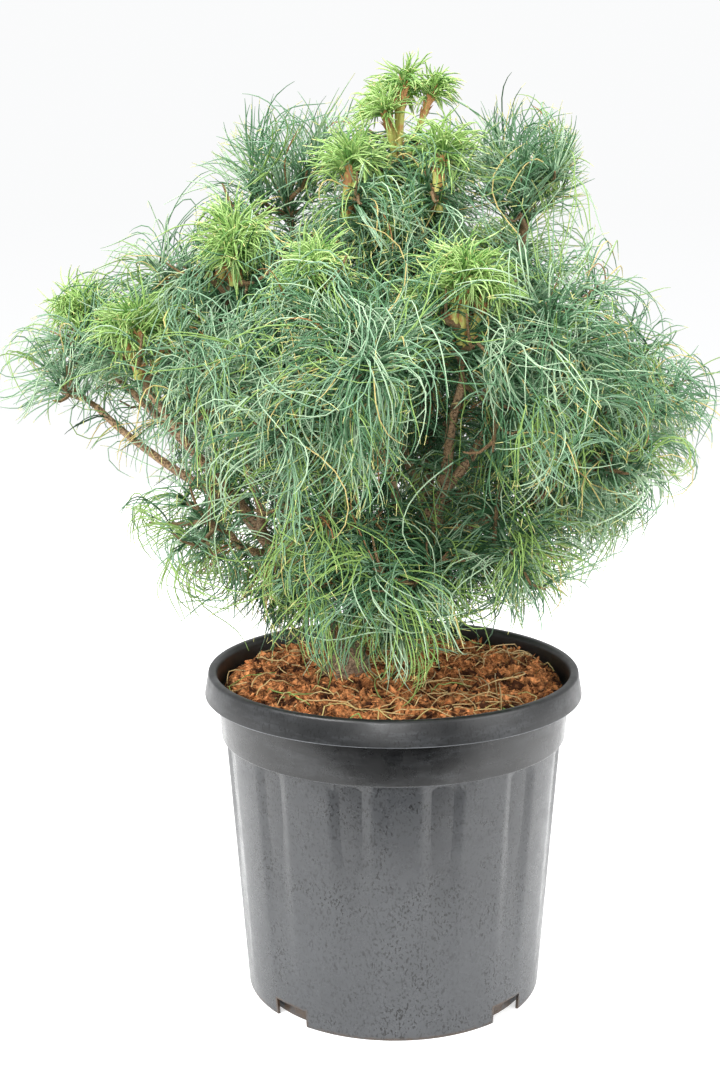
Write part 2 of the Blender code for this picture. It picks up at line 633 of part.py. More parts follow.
class Builder:
    """Makes the masses one by one, each inside its space and clear of every limb."""

    def __init__(self, paths, stems, collection, grown, material):
        self.paths, self.stems, self.collection = paths, stems, collection
        self.grown, self.material = grown, material
        self.shoots, self.curves = {}, []
        for number, (name, mass) in enumerate(MASSES.items()):
            rng = random.Random(SEED + 200 + number)
            self.shoots[name] = whorls(mass, stems[name][0], rng)
        self.spaces = Spaces({name: space_points(shoots, MASSES[name]) for name, shoots in self.shoots.items()})

    def fits(self, name, rings, points, radii):
        """Whether a piece keeps its corners in its space and stays clear of limbs and other stems."""
        for k in range(3):
            edge = np.array([ring[k % len(ring)] for ring in rings])
            if not self.spaces.holds(name, dense(edge, np.zeros(len(edge)))[0]):
                return False
        samples, widths = dense(points, np.asarray(radii))
        others = list(self.paths.values())
        others += [stem for other, stem in self.stems.items() if other != name]
        return all(nearest_gap(samples, widths, *path) > LIMB_CLEARANCE for path in others)

    def add_twig(self, name, twig, facing, pieces):
        """One side twig with a thick bud end, if it keeps to its space."""
        radii = np.array([TWIG_RADIUS, TWIG_RADIUS, BUD_RADIUS])
        rings = round_rings(twig, radii, facing)
        if not self.fits(name, rings[1:], twig[1:], radii[1:]):
            return False
        lofted(f"{name}_twig", rings, pieces)
        return True

    def add_spray(self, name, spray, mass, pieces):
        """One toothed blade, turned and shortened step by step until it finds room."""
        for share in SPRAY_TRIES:
            for turn in SPRAY_TURNS:
                heading = turned_away(spray.axis, spray.cone, spray.turn + turn)
                curve = hanging_curve(spray.root, heading, mass.needle * CM * share, mass.hang, spray.curl)
                free = curve[round(ROOT_SHARE * CURVE_STEPS):]
                if any(distances(free, other).min() < SPRAY_APART for other in self.curves):
                    continue
                rings, centres, widths = spray_rings(curve, 0.5 + 0.5 * share)
                if self.fits(name, rings, centres, widths):
                    lofted(f"{name}_spray", rings, pieces)
                    self.curves.append(free)
                    return True
        return False

    def add_candle(self, name, root, heading, pieces):
        """One young shoot: a bare stem under a head of short needles."""
        points = np.array([root + heading * CANDLE_LENGTH * share for share in CANDLE_STATIONS])
        rings = round_rings(points, CANDLE_RADII, (1.0, 0.0, 0.0))
        if not self.fits(name, rings[1:], points[1:], CANDLE_RADII[1:]):
            return False
        lofted(f"{name}_candle", rings, pieces)
        return True

    def build(self, name):
        """One mass: its stem, twigs, sprays and candles, joined into one closed solid."""
        mass = MASSES[name]
        path, radii = self.stems[name]
        pieces = new_collection(f"pieces_of_{name}")
        made, ends = 0, []
        self.curves = []
        for shoot, sprays in self.shoots[name]:
            facing = turned_away(sprays[0].axis, sprays[0].cone, sprays[0].turn)
            if shoot is path or self.add_twig(name, shoot, facing, pieces):
                ends.append(shoot[-1])
                made += sum(self.add_spray(name, spray, mass, pieces) for spray in sprays)
        candles = 0
        for k in range(mass.candles):
            lean = turned_away((0.0, 0.0, 1.0), CANDLE_LEAN * (0.3 + 0.7 * (k > 0)), GOLDEN_TURN * k)
            candles += self.add_candle(name, ends[-1 - k % len(ends)] - lean * 2 * MM, lean, pieces)
        stem = lofted(name, round_rings(path, radii, facing), self.collection)
        cut_clear(stem, self.grown[mass.limb])
        join = stem.modifiers.new("join", "BOOLEAN")
        join.operation = "UNION"
        join.operand_type = "COLLECTION"
        join.collection = pieces
        join.solver = "MANIFOLD"
        bake_skin(stem, self.material)
        thin = stem.modifiers.new("thin", "DECIMATE")
        thin.ratio = KEPT_TRIANGLES
        bake_skin(stem, self.material)
        for piece in list(pieces.objects):
            bpy.data.objects.remove(piece, do_unlink=True)
        bpy.data.collections.remove(pieces)
        print(f"{name}: {len(ends) - 1}/{mass.twigs} twigs, {made} sprays, {candles}/{mass.candles} candles, "
              f"{len(stem.data.polygons)} triangles")
        return made, candles, len(stem.data.polygons)


def bake_skin(obj, material):
    """Apply an object's cuts and joins, and leave it one tidy closed skin."""
    bpy.context.view_layer.update()
    mesh = baked_mesh(obj, obj.name)
    obj.modifiers.clear()
    obj.data = mesh
    tidy_skin(mesh)
    mesh.materials.clear()
    mesh.materials.append(material)


def keep_largest_skin(bm):
    """Delete every closed skin but the largest, which drops scraps and fills hollows."""
    left = set(bm.faces)
    skins = []
    while left:
        queue = [left.pop()]
        skin = list(queue)
        while queue:
            edges = [edge for edge in queue.pop().edges if len(edge.link_faces) == 2]
            for face in {face for edge in edges for face in edge.link_faces} & left:
                left.discard(face)
                skin.append(face)
                queue.append(face)
        skins.append(skin)
    skins.sort(key=lambda skin: sum(face.calc_area() for face in skin))
    for skin in skins[:-1]:
        bmesh.ops.delete(bm, geom=skin, context="FACES")


def tidy_skin(mesh):
    """Leave one closed skin of triangles, with flat stretches joined where it stays closed."""
    bm = bmesh.new()
    bm.from_mesh(mesh)
    bmesh.ops.triangulate(bm, faces=bm.faces, ngon_method="EAR_CLIP")
    keep_largest_skin(bm)
    bm.to_mesh(mesh)
    bmesh.ops.dissolve_limit(bm, angle_limit=FLAT_ENOUGH, verts=bm.verts, edges=bm.edges)
    bmesh.ops.triangulate(bm, faces=bm.faces, ngon_method="EAR_CLIP")
    keep_largest_skin(bm)
    if all(len(edge.link_faces) == 2 for edge in bm.edges):
        bm.to_mesh(mesh)
    bm.free()


def main():
    clear_scene()
    plant = new_collection("potted_squiggles_white_pine")
    cutters = new_collection("cutters")
    plastic = new_material("pot_plastic", (0.055, 0.060, 0.064), 0.42)
    coir = new_material("coir", (0.23, 0.085, 0.035), 0.95)
    bark = new_material("bark", (0.17, 0.105, 0.065), 0.85)
    needles = new_material("needles", (0.10, 0.22, 0.12), 0.55)
    build_pot(plant, cutters, plastic)
    build_substrate(plant, coir)
    paths = limb_paths()
    grown = build_limbs(paths, plant, cutters, bark)
    stems = stem_paths(paths)
    builder = Builder(paths, stems, plant, grown, needles)
    total = np.sum([builder.build(name) for name in MASSES], axis=0)
    print("sprays, candles, triangles", total)


main()
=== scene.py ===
# Potted squiggles eastern white pine, dressed for its picture.
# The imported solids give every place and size. Boughs, twigs, candles and needles grow on from the
# limbs by the same rule that the solids follow, carried on to finer twigs and single needles.
# Metres, +Z up. The pot stands on Z = 0 with its axis through the origin, seen from the front along +Y.

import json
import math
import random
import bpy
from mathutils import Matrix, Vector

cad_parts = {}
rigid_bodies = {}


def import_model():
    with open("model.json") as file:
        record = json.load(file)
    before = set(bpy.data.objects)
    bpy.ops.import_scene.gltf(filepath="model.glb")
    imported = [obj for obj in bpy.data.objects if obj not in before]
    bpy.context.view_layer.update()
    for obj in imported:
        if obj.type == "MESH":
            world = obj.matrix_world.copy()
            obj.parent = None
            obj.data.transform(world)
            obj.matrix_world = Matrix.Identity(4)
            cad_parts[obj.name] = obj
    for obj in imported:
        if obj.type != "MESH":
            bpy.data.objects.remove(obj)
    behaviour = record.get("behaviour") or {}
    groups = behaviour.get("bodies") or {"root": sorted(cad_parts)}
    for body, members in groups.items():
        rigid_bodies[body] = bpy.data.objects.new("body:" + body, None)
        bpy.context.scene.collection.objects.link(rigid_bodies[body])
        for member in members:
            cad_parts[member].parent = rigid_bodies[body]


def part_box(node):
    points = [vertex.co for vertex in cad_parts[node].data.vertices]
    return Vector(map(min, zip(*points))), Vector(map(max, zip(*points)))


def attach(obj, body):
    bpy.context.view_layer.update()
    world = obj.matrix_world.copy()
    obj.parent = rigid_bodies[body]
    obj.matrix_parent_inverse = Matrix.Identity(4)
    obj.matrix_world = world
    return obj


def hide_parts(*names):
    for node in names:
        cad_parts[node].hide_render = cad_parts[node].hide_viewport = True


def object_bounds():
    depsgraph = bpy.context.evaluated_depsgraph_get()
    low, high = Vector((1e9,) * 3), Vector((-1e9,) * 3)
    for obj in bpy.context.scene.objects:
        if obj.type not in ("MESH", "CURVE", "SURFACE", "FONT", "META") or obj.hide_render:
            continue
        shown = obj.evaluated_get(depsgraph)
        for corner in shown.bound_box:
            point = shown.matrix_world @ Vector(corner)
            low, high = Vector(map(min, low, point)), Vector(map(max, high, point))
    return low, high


bl_info = {
    "name": "Potted Squiggles White Pine",
    "version": (1, 0, 0),
    "blender": (4, 5, 0),
    "location": "View3D > Sidebar > White Pine",
    "description": "Grows a potted eastern white pine with long twisted needles in a fluted nursery pot",
    "category": "Object",
}

from collections import namedtuple

import bmesh
import bpy
import numpy as np
from bpy.props import FloatProperty, FloatVectorProperty, IntProperty, PointerProperty
from mathutils import Matrix, Vector, noise

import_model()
CAD_BOX = [list(corner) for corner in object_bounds()]

CM = 0.01
MM = 0.001

# Pot, as the solids have it
POT_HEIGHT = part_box("pot")[1][2]
FOOT_RADIUS = 12.49 * CM
BODY_TOP_RADIUS = 14.1 * CM
BAND_BOTTOM = 21.98 * CM
BAND_LOW_RADIUS = 14.44 * CM
BAND_HIGH_RADIUS = 14.7 * CM
SKIRT_BOTTOM = 25.56 * CM
SKIRT_RADIUS = 15.79 * CM
RIM_OUTER_RADIUS = 15.44 * CM
RIM_INNER_RADIUS = 14.72 * CM
WALL = 2.5 * MM
UNDERSIDE_RADIUS = 8.2 * CM
RECESS_RADIUS = 11.7 * CM
CHANNEL_HEIGHT = 1.6 * CM
NOTCH_COUNT = 4
NOTCH_WIDTH = 3.3 * CM
NOTCH_HEIGHT = 1.45 * CM
NOTCH_TURN = math.radians(2.0)
POT_STEPS = 360
FLUTE_TURN = math.radians(15.0)
FLUTE_EDGE = 0.0
ROUNDING = 1.6 * MM

# Substrate
SUBSTRATE_TOP = 26.5 * CM
SUBSTRATE_EDGE = 26.0 * CM
SHREDS_PER_CHIP = 0.18
LITTER_WALL = 14.4 * CM
LITTER_LONGEST = 1.75 * CM

# Trunk, in centimetres across and up
TRUNK_FOOT = (-3.8, 1.0)
TRUNK_LEAN = (-0.6, 0.0)
TRUNK_LENGTH = 4.2 * CM
TRUNK_FLARE = 23 * MM
TRUNK_NECK = 13.5 * MM
TRUNK_STEPS = 7
FLARE_POWER = 2.6
GAP = 0.35 * MM

# Growth, by the rule of the solids
SEED = 4107
LIMB_WOBBLE = 1.5 * MM
FINE_STEPS = 24
STEM_STEPS = 2
GOLDEN_TURN = math.pi * (3 - math.sqrt(5))
STEM_RADIUS = 2.6 * MM
TWIG_RADIUS = 1.8 * MM
TWIG_ANGLE = math.radians(58)
TWIG_LIFT = 0.3
FIRST_TWIG = 0.35
FULL_BEND = math.radians(135)
LOWEST_ELEVATION = math.radians(-97)
CANDLE_LENGTH = 7.0 * CM
CANDLE_LEAN = 0.35
CANDLE_REACH = 0.2
CREST_REACH = 0.0

# Growth carried on past the solids
FINE_TWIGS = 2
FINE_TWIG_SHARE = 0.62
FINE_TWIG_LIFT = 0.7
INNER_FIRST = 0.25
INNER_FIRST_LOW = 0.18
INNER_FIRST_LEFT = 0.72
NEEDLE_ZONE = 4.6 * CM
BARE_UNDER_CANDLES = 0.62
CANDLE_SUNK = 1.6 * CM
HIGH_CANDLES = 58 * CM
INNER_STEPS = 6
STOUT_UNDER_CANDLES = 1.6
NEEDLE_STEPS = 9
YOUNG_STEPS = 8
WAVES = 0.8
TIPPED_SHARE = 0.48
TIP_STEP = 0.08
LOCK_SIZE = 5 * CM
LOCK_TURN = 0.9
LOCK_OFFSETS = ((5.3, 14.7, 28.9), (23.1, 7.9, 1.3), (19.7, 12.3, 5.1))
SHORTENINGS = 6
SHORTER = 0.85
LOWEST_NEEDLE = 27.9 * CM
LOWEST_OVER_COIR = 26.9 * CM
BOX_MARGIN = 18 * MM

# Floor, as its reach to the front, the back and the sides
FLOOR_FRONT = -44 * CM
FLOOR_BACK = 2.6
FLOOR_SIDE = 2.2

Limb = namedtuple("Limb", "parent share tip bow foot_radius tip_radius")

LEADERS = {
    "leader_left": Limb("trunk", 0.80, (-13.4, 0.0, 42.4), (0.0, 0.0, -0.4), 8.0, 5.2),
    "leader_right": Limb("trunk", 0.97, (3.6, -0.5, 39.6), (1.2, 0.0, -1.4), 9.5, 6.4),
    "leader_top": Limb("leader_right", 0.80, (0.5, 0.3, 66.0), (2.4, 3.6, 2.0), 7.0, 3.2),
}

BOUGHS = {
    "bough_left_low": Limb("leader_left", 0.90, (-24.0, -0.8, 49.6), (-1.0, -0.8, -0.6), 4.0, 2.6),
    "bough_left_high": Limb("leader_left", 0.99, (-24.0, 2.2, 52.8), (0.2, 1.4, 0.2), 4.2, 2.6),
    "bough_left_candle": Limb("leader_left", 0.82, (-19.3, -4.2, 51.2), (-0.6, -1.4, 0.6), 4.0, 2.6),
    "bough_shoulder": Limb("leader_left", 0.45, (-13.6, -3.2, 56.2), (3.0, -0.8, -1.0), 5.0, 3.0),
    "bough_low_left": Limb("leader_left", 0.60, (-13.0, -5.0, 40.0), (-0.8, -1.0, -1.2), 3.6, 2.6),
    "bough_left_fall": Limb("leader_left", 0.70, (-12.0, -8.2, 49.0), (0.8, -1.6, -1.6), 4.2, 2.6),
    "bough_cascade": Limb("leader_right", 0.34, (-6.6, -11.4, 49.0), (-0.6, -3.0, -1.6), 4.4, 2.6),
    "bough_mop": Limb("leader_right", 0.76, (-2.2, -14.2, 52.2), (-0.4, -1.2, -1.4), 4.4, 2.8),
    "bough_middle": Limb("leader_right", 0.91, (-4.0, -9.4, 56.4), (1.8, 0.2, 0.0), 4.2, 2.6),
    "bough_front": Limb("leader_right", 0.99, (5.2, -8.6, 52.6), (-0.4, 0.4, 0.0), 5.2, 3.2),
    "bough_right": Limb("bough_front", 0.22, (9.2, -5.4, 53.6), (0.8, -0.8, -1.6), 4.4, 2.8),
    "bough_far_right": Limb("leader_right", 0.90, (18.6, -0.4, 47.0), (1.6, 0.4, -2.2), 4.4, 2.8),
    "bough_right_fall": Limb("bough_far_right", 0.34, (13.2, -6.4, 44.6), (0.4, -1.2, -0.4), 3.6, 2.6),
    "bough_low_right": Limb("leader_right", 0.56, (13.0, 3.0, 38.8), (0.6, 0.6, -0.8), 3.8, 2.6),
    "bough_top_left": Limb("leader_top", 0.52, (-7.8, 2.4, 62.2), (-1.6, 0.0, -1.0), 3.8, 2.6),
    "bough_top_right": Limb("leader_top", 0.30, (10.4, 2.0, 62.2), (2.0, 0.0, -2.0), 4.2, 2.6),
    "bough_back_left_high": Limb("leader_top", 0.40, (-7.6, 10.0, 56.4), (-1.2, 1.0, -1.2), 3.8, 2.6),
    "bough_back_right_high": Limb("leader_top", 0.46, (7.8, 10.4, 57.0), (1.0, 1.2, -1.2), 3.8, 2.6),
    "bough_back": Limb("leader_top", 0.18, (-1.4, 13.6, 50.0), (-0.6, 1.6, -1.6), 4.2, 2.6),
    "bough_back_left": Limb("leader_left", 0.76, (-16.2, 10.0, 47.2), (-0.4, 1.6, -1.0), 4.0, 2.6),
    "bough_back_right": Limb("leader_top", 0.09, (11.6, 11.4, 46.4), (1.0, 1.4, -1.2), 4.2, 2.6),
}

Mass = namedtuple("Mass", "limb share head twigs twig needle hang candles")

MASSES = {
    "needles_crest": Mass("leader_top", 1.0, (0.5, 0.2, 69.6), 3, 3.4, 7.5, 0.75, 5),
    "needles_crest_left": Mass("leader_top", 0.80, (-3.6, -3.6, 66.0), 2, 3.8, 8.0, 0.80, 3),
    "needles_crest_right": Mass("leader_top", 0.84, (3.7, -3.2, 66.4), 2, 3.8, 8.0, 0.80, 3),
    "needles_crest_back": Mass("leader_top", 0.72, (0.8, 5.6, 64.8), 3, 4.2, 8.5, 0.75, 2),
    "needles_top_left": Mass("bough_top_left", 1.0, (-8.6, 2.0, 66.0), 3, 4.4, 9.5, 0.42, 0),
    "needles_top_right": Mass("bough_top_right", 1.0, (11.0, 1.6, 66.2), 4, 4.8, 9.5, 0.45, 1),
    "needles_shoulder": Mass("bough_shoulder", 1.0, (-12.2, -6.4, 61.0), 4, 5.2, 9.0, 0.80, 5),
    "needles_left_whorl": Mass("bough_shoulder", 0.97, (-18.0, -0.6, 58.6), 3, 4.6, 9.5, 0.75, 0),
    "needles_left_high": Mass("bough_left_high", 1.0, (-25.2, 2.0, 55.0), 3, 3.2, 7.5, 0.65, 3),
    "needles_left_low": Mass("bough_left_low", 1.0, (-26.0, -1.4, 51.4), 3, 4.0, 9.0, 0.85, 0),
    "needles_left_candle": Mass("bough_left_candle", 1.0, (-19.8, -5.4, 53.8), 3, 3.6, 8.0, 0.80, 4),
    "needles_left_fall": Mass("bough_left_fall", 1.0, (-13.0, -11.6, 52.2), 4, 4.8, 10.5, 0.95, 0),
    "needles_low_left": Mass("bough_low_left", 1.0, (-15.0, -7.0, 41.4), 4, 4.6, 10.5, 0.95, 0),
    "needles_cascade": Mass("bough_cascade", 1.0, (-7.4, -15.2, 51.4), 4, 4.6, 11.0, 0.95, 0),
    "needles_middle": Mass("bough_middle", 1.0, (-6.0, -12.0, 59.2), 3, 3.8, 8.0, 0.80, 3),
    "needles_mop": Mass("bough_mop", 1.0, (-2.1, -17.4, 54.8), 3, 3.0, 11.5, 1.00, 0),
    "needles_front": Mass("bough_front", 1.0, (4.9, -10.8, 56.8), 4, 4.2, 8.5, 0.85, 5),
    "needles_front_fall": Mass("bough_front", 0.96, (9.0, -13.0, 50.6), 3, 4.2, 10.5, 0.95, 0),
    "needles_right": Mass("bough_right", 1.0, (11.6, -8.4, 57.0), 4, 4.8, 11.0, 0.90, 0),
    "needles_right_fall": Mass("bough_right_fall", 1.0, (16.0, -7.6, 46.6), 4, 4.4, 10.0, 0.95, 0),
    "needles_far_right": Mass("bough_far_right", 1.0, (20.2, 0.0, 50.6), 4, 4.6, 9.0, 0.85, 0),
    "needles_low_right": Mass("bough_low_right", 1.0, (16.4, 3.4, 40.6), 4, 4.6, 10.0, 0.90, 0),
    "needles_low_front_right": Mass("leader_right", 0.66, (9.8, -9.4, 40.0), 4, 4.8, 10.5, 0.95, 0),
    "needles_low_front": Mass("leader_right", 0.42, (1.6, -11.4, 37.4), 4, 4.6, 9.5, 0.95, 0),
    "needles_low_middle": Mass("leader_right", 0.24, (-5.6, -13.2, 43.0), 4, 4.6, 10.5, 0.95, 0),
    "needles_back_left_high": Mass("bough_back_left_high", 1.0, (-9.6, 12.0, 59.6), 4, 5.0, 10.0, 0.80, 3),
    "needles_back_right_high": Mass("bough_back_right_high", 1.0, (9.6, 12.4, 60.2), 4, 5.0, 10.0, 0.80, 3),
    "needles_back": Mass("bough_back", 1.0, (-2.0, 17.2, 53.2), 4, 5.0, 11.0, 0.95, 0),
    "needles_back_left": Mass("bough_back_left", 1.0, (-18.6, 12.4, 50.2), 4, 5.0, 10.5, 0.90, 2),
    "needles_back_right": Mass("bough_back_right", 1.0, (14.0, 13.8, 48.8), 4, 5.0, 10.5, 0.90, 0),
    "needles_low_back_left": Mass("leader_left", 0.30, (-9.6, 13.4, 40.6), 4, 5.0, 10.5, 0.95, 0),
    "needles_low_back_right": Mass("leader_right", 0.50, (5.4, 12.8, 39.6), 4, 5.0, 10.5, 0.95, 0),
}

# Each piece of needles takes four masses in their order above
NEEDLE_PIECES = ("crest", "top", "left", "middle", "front", "right", "back_high", "back_low")
MASSES_IN_PIECE = 4

# Plain needle colours, and how often each is dealt to a spray
SHADES = {
    "deep": (0.030, 0.095, 0.036),
    "sea": (0.095, 0.225, 0.105),
    "blue_green": (0.215, 0.375, 0.225),
    "silver": (0.420, 0.580, 0.375),
    "fresh": (0.260, 0.415, 0.110),
    "straw": (0.620, 0.500, 0.190),
    "rust": (0.360, 0.165, 0.060),
}
FALLEN_SHADES = {"tan": (0.620, 0.440, 0.200)}
# Darker shades for needles deep in the crown: painted shade
INNER_SHADE_WEIGHTS = (28, 34, 14, 4, 20)
OUTER_WEIGHTS = (1, 24, 32, 27, 16)
# Lighter, yellower shades for the low needles: fresher green, and painted light where less light reaches
LOW_LIGHTENED_WEIGHTS = (2, 8, 18, 18, 54)
LOW_FOLIAGE = 44 * CM
HIGH_FOLIAGE = 61 * CM
# Darker shades for the needles along the bare wood: painted shade, with dry straw and rust needles
BARE_WOOD_WEIGHTS = (22, 28, 14, 6, 20, 5, 5)
INNER_REACH = 0.62
DRY_SHARE = 0.025
RUST_SHARE = 0.006
YOUNG_SHADES = {
    "young": (0.320, 0.515, 0.145),
    "lime": (0.440, 0.620, 0.225),
    "leaf": (0.150, 0.320, 0.075),
}
YOUNG_WEIGHTS = (50, 35, 15)
TIP_COLOUR = (0.70, 0.68, 0.26)

# Outline of the crown: at each height its reach to the left, right, front and back, in centimetres
CROWN = (
    (28.0, 13.0, 11.0, 13.0, 13.0),
    (33.0, 19.0, 14.0, 17.0, 18.0),
    (37.5, 21.0, 19.0, 20.0, 22.0),
    (41.7, 22.5, 21.5, 21.5, 24.0),
    (45.8, 24.0, 25.5, 22.5, 26.0),
    (50.0, 30.5, 26.0, 23.0, 26.5),
    (54.0, 31.0, 24.0, 23.0, 25.5),
    (58.0, 28.5, 20.5, 21.0, 23.5),
    (62.0, 21.0, 16.5, 16.5, 20.0),
    (66.0, 16.0, 16.5, 12.0, 16.0),
    (70.0, 16.0, 16.5, 8.0, 12.0),
    (78.0, 15.0, 16.0, 6.0, 10.0),
)
# Top of the crown: its height from left to right, in centimetres
TOPS = ((-32.0, 55.0), (-25.0, 60.0), (-21.0, 64.0), (-17.0, 66.0), (-14.0, 70.0), (-12.0, 73.4), (-6.0, 73.4),
        (-4.0, 74.5), (4.0, 75.0), (6.0, 72.6), (10.8, 74.2), (14.0, 71.5), (16.0, 67.0), (19.0, 62.5),
        (22.0, 58.0), (27.0, 53.0))
# Underside of the crown: its height from left to right, and its rise towards the front and the back
UNDERSIDE = ((-32.0, 47.5), (-27.0, 45.8), (-22.9, 44.0), (-20.4, 37.4), (-18.7, 33.1), (-12.5, 32.0),
             (-9.0, 29.2), (-3.0, 28.2), (0.4, 27.8), (2.7, 29.4), (6.5, 32.8), (13.2, 34.3), (16.6, 36.3),
             (20.0, 39.7), (23.5, 44.3), (28.0, 50.0))
UNDERSIDE_RISE = ((0.0, 0.0), (12.0, 0.5), (17.0, 3.0), (22.0, 8.0), (26.0, 12.0))
LOOSE_SHARE = 0.16
# Hollows in the crown where limbs or sky show: centre, reach each way, share of needles kept
HOLLOWS = (
    ((3.9, -14.5, 48.2), (2.9, 10.5, 6.4), 0.05),
    ((4.2, -14.5, 42.6), (4.2, 8.5, 3.4), 0.15),
    ((-0.6, -15.0, 43.6), (2.6, 6.5, 3.0), 0.45),
    ((-10.7, -10.0, 42.2), (2.2, 10.0, 2.9), 0.06),
    ((-11.3, 4.0, 39.4), (2.2, 10.0, 2.9), 0.06),
    ((-11.9, 17.0, 37.0), (2.4, 10.0, 2.9), 0.10),
    ((-19.6, -10.4, 53.4), (2.6, 5.6, 3.6), 0.06),
    ((-16.4, -10.0, 46.4), (2.2, 8.0, 3.6), 0.12),
    ((-24.0, 0.0, 46.5), (7.0, 14.0, 4.5), 0.30),
    ((-19.6, -8.0, 48.6), (3.4, 10.0, 2.6), 0.25),
    ((5.0, -15.5, 56.6), (1.7, 5.0, 2.4), 0.06),
    ((3.7, -8.5, 66.0), (2.2, 5.0, 2.0), 0.10),
    ((-3.4, -8.0, 64.0), (1.4, 4.5, 3.4), 0.12),
    ((-12.4, -11.0, 59.2), (2.0, 5.0, 1.9), 0.08),
    ((0.4, 0.0, 71.5), (4.2, 4.5, 2.4), 0.05),
)

# Share of a full dress of needles on the masses that are sparser or denser
SPARSE = {
    "needles_left_high": 0.55, "needles_left_low": 0.42, "needles_left_candle": 0.60, "needles_low_left": 0.52,
    "needles_left_fall": 0.85, "needles_left_whorl": 0.85, "needles_mop": 1.35, "needles_top_left": 0.7, "needles_back": 1.6,
    "needles_back_right": 1.5, "needles_low_back_left": 1.3, "needles_low_back_right": 1.6,
}

# Tufts: the bare share of a candle, the length of its needles, how far they arch, hang and twist,
# and how stout the candle is
Tuft = namedtuple("Tuft", "bare needle over hang curl stout")
OPEN_TUFT = Tuft(0.70, 4.3 * CM, 0.7, 0.7, 2.0, 1.0)
CREST_TUFT = Tuft(0.86, 2.9 * CM, 0.6, 1.0, 1.5, 0.75)

# Heights of the crest's candles, in centimetres
CREST_TOPS = (75.0, 74.6, 72.6, 74.4, 73.2)

# Share of a full candle's length on the masses whose candles are short
CANDLE_SHARES = {
    "needles_crest_left": 0.80, "needles_crest_right": 0.80, "needles_left_high": 0.60,
    "needles_shoulder": 0.62, "needles_left_candle": 0.75, "needles_middle": 0.50, "needles_top_right": 0.45,
    "needles_back_left_high": 0.30, "needles_back_right_high": 0.45, "needles_back_left": 0.60,
}


# Small tools

def in_cm(numbers):
    """A point given in centimetres, as an array in metres."""
    return np.array(numbers, float) * CM


def node(tree, kind, inputs=None, **settings):
    """Add a node to a tree, with its settings, its values and the sockets that feed it."""
    made = tree.nodes.new(kind)
    for key, value in settings.items():
        setattr(made, key, value)
    for key, value in (inputs or {}).items():
        if isinstance(value, bpy.types.NodeSocket):
            tree.links.new(value, made.inputs[key])
        else:
            made.inputs[key].default_value = value
    return made


def new_material(name, colour, roughness):
    """A Principled material and its node tree and shader."""
    material = bpy.data.materials.new(name)
    material.use_nodes = True
    shader = material.node_tree.nodes["Principled BSDF"]
    shader.inputs["Base Color"].default_value = (*colour, 1.0)
    shader.inputs["Roughness"].default_value = roughness
    return material, material.node_tree, shader


def place_of(tree, scale=(1.0, 1.0, 1.0)):
    """Object coordinates, stretched by a scale along each axis."""
    coordinates = node(tree, "ShaderNodeTexCoord")
    mapping = node(tree, "ShaderNodeMapping", {"Vector": coordinates.outputs["Object"], "Scale": scale})
    return mapping.outputs["Vector"]


def grain(tree, vector, scale, detail=4.0, roughness=0.6):
    """Noise from 0 to 1."""
    made = node(tree, "ShaderNodeTexNoise", {"Vector": vector, "Scale": scale, "Detail": detail,
                                             "Roughness": roughness})
    return made.outputs["Fac"]


def between(tree, value, low, high, to_low=0.0, to_high=1.0):
    """A value stretched from one range to another and held inside it."""
    made = node(tree, "ShaderNodeMapRange", {"Value": value, "From Min": low, "From Max": high,
                                             "To Min": to_low, "To Max": to_high})
    return made.outputs["Result"]


def blended(tree, factor, first, second):
    """A colour that goes from the first to the second by a factor."""
    made = node(tree, "ShaderNodeMix", {0: factor}, data_type="RGBA")
    for index, colour in ((6, first), (7, second)):
        if isinstance(colour, bpy.types.NodeSocket):
            tree.links.new(colour, made.inputs[index])
        else:
            made.inputs[index].default_value = (*colour, 1.0)
    return made.outputs[2]


def calculated(tree, operation, first, second):
    """Two values joined by arithmetic."""
    return node(tree, "ShaderNodeMath", {0: first, 1: second}, operation=operation).outputs[0]


def raised(tree, shader, height, distance, strength=1.0):
    """Feed a height into the shader as a bump."""
    bump = node(tree, "ShaderNodeBump", {"Height": height, "Distance": distance, "Strength": strength})
    tree.links.new(bump.outputs["Normal"], shader.inputs["Normal"])


def link_object(name, mesh):
    """Put a mesh in the scene as an object at the origin."""
    obj = bpy.data.objects.new(name, mesh)
    bpy.context.scene.collection.objects.link(obj)
    return obj


def mesh_from_bmesh(name, bm):
    """A mesh with its faces pointing out, from a bmesh that is then freed."""
    bmesh.ops.recalc_face_normals(bm, faces=bm.faces)
    mesh = bpy.data.meshes.new(name)
    bm.to_mesh(mesh)
    bm.free()
    return mesh


def made_plain(obj):
    """Swap an object's mesh for its evaluated one and drop its modifiers."""
    bpy.context.view_layer.update()
    depsgraph = bpy.context.evaluated_depsgraph_get()
    mesh = bpy.data.meshes.new_from_object(obj.evaluated_get(depsgraph), depsgraph=depsgraph)
    mesh.name = obj.name
    obj.modifiers.clear()
    obj.data = mesh
    return obj


def geometry_tree(name, sockets):
    """A geometry tree with named inputs, and its first and last nodes."""
    tree = bpy.data.node_groups.new(name, "GeometryNodeTree")
    tree.interface.new_socket("Geometry", in_out="INPUT", socket_type="NodeSocketGeometry")
    for label, kind, value in sockets:
        socket = tree.interface.new_socket(label, in_out="INPUT", socket_type=kind)
        if value is not None:
            socket.default_value = value
    tree.interface.new_socket("Geometry", in_out="OUTPUT", socket_type="NodeSocketGeometry")
    return tree, node(tree, "NodeGroupInput").outputs, node(tree, "NodeGroupOutput")


def run_tree(obj, tree, values):
    """Run a geometry tree on an object with values for its inputs, and keep the plain result."""
    modifier = obj.modifiers.new(tree.name, "NODES")
    modifier.node_group = tree
    for item in tree.interface.items_tree:
        if item.in_out == "INPUT" and item.name in values:
            modifier[item.identifier] = values[item.name]
    return made_plain(obj)


def dress(obj, slot, *nodes):
    """Let a piece ride on the plant and stand for CAD nodes, whose solids it hides; its slot is not used."""
    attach(obj, "root")
    if nodes:
        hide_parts(*nodes)
    return obj


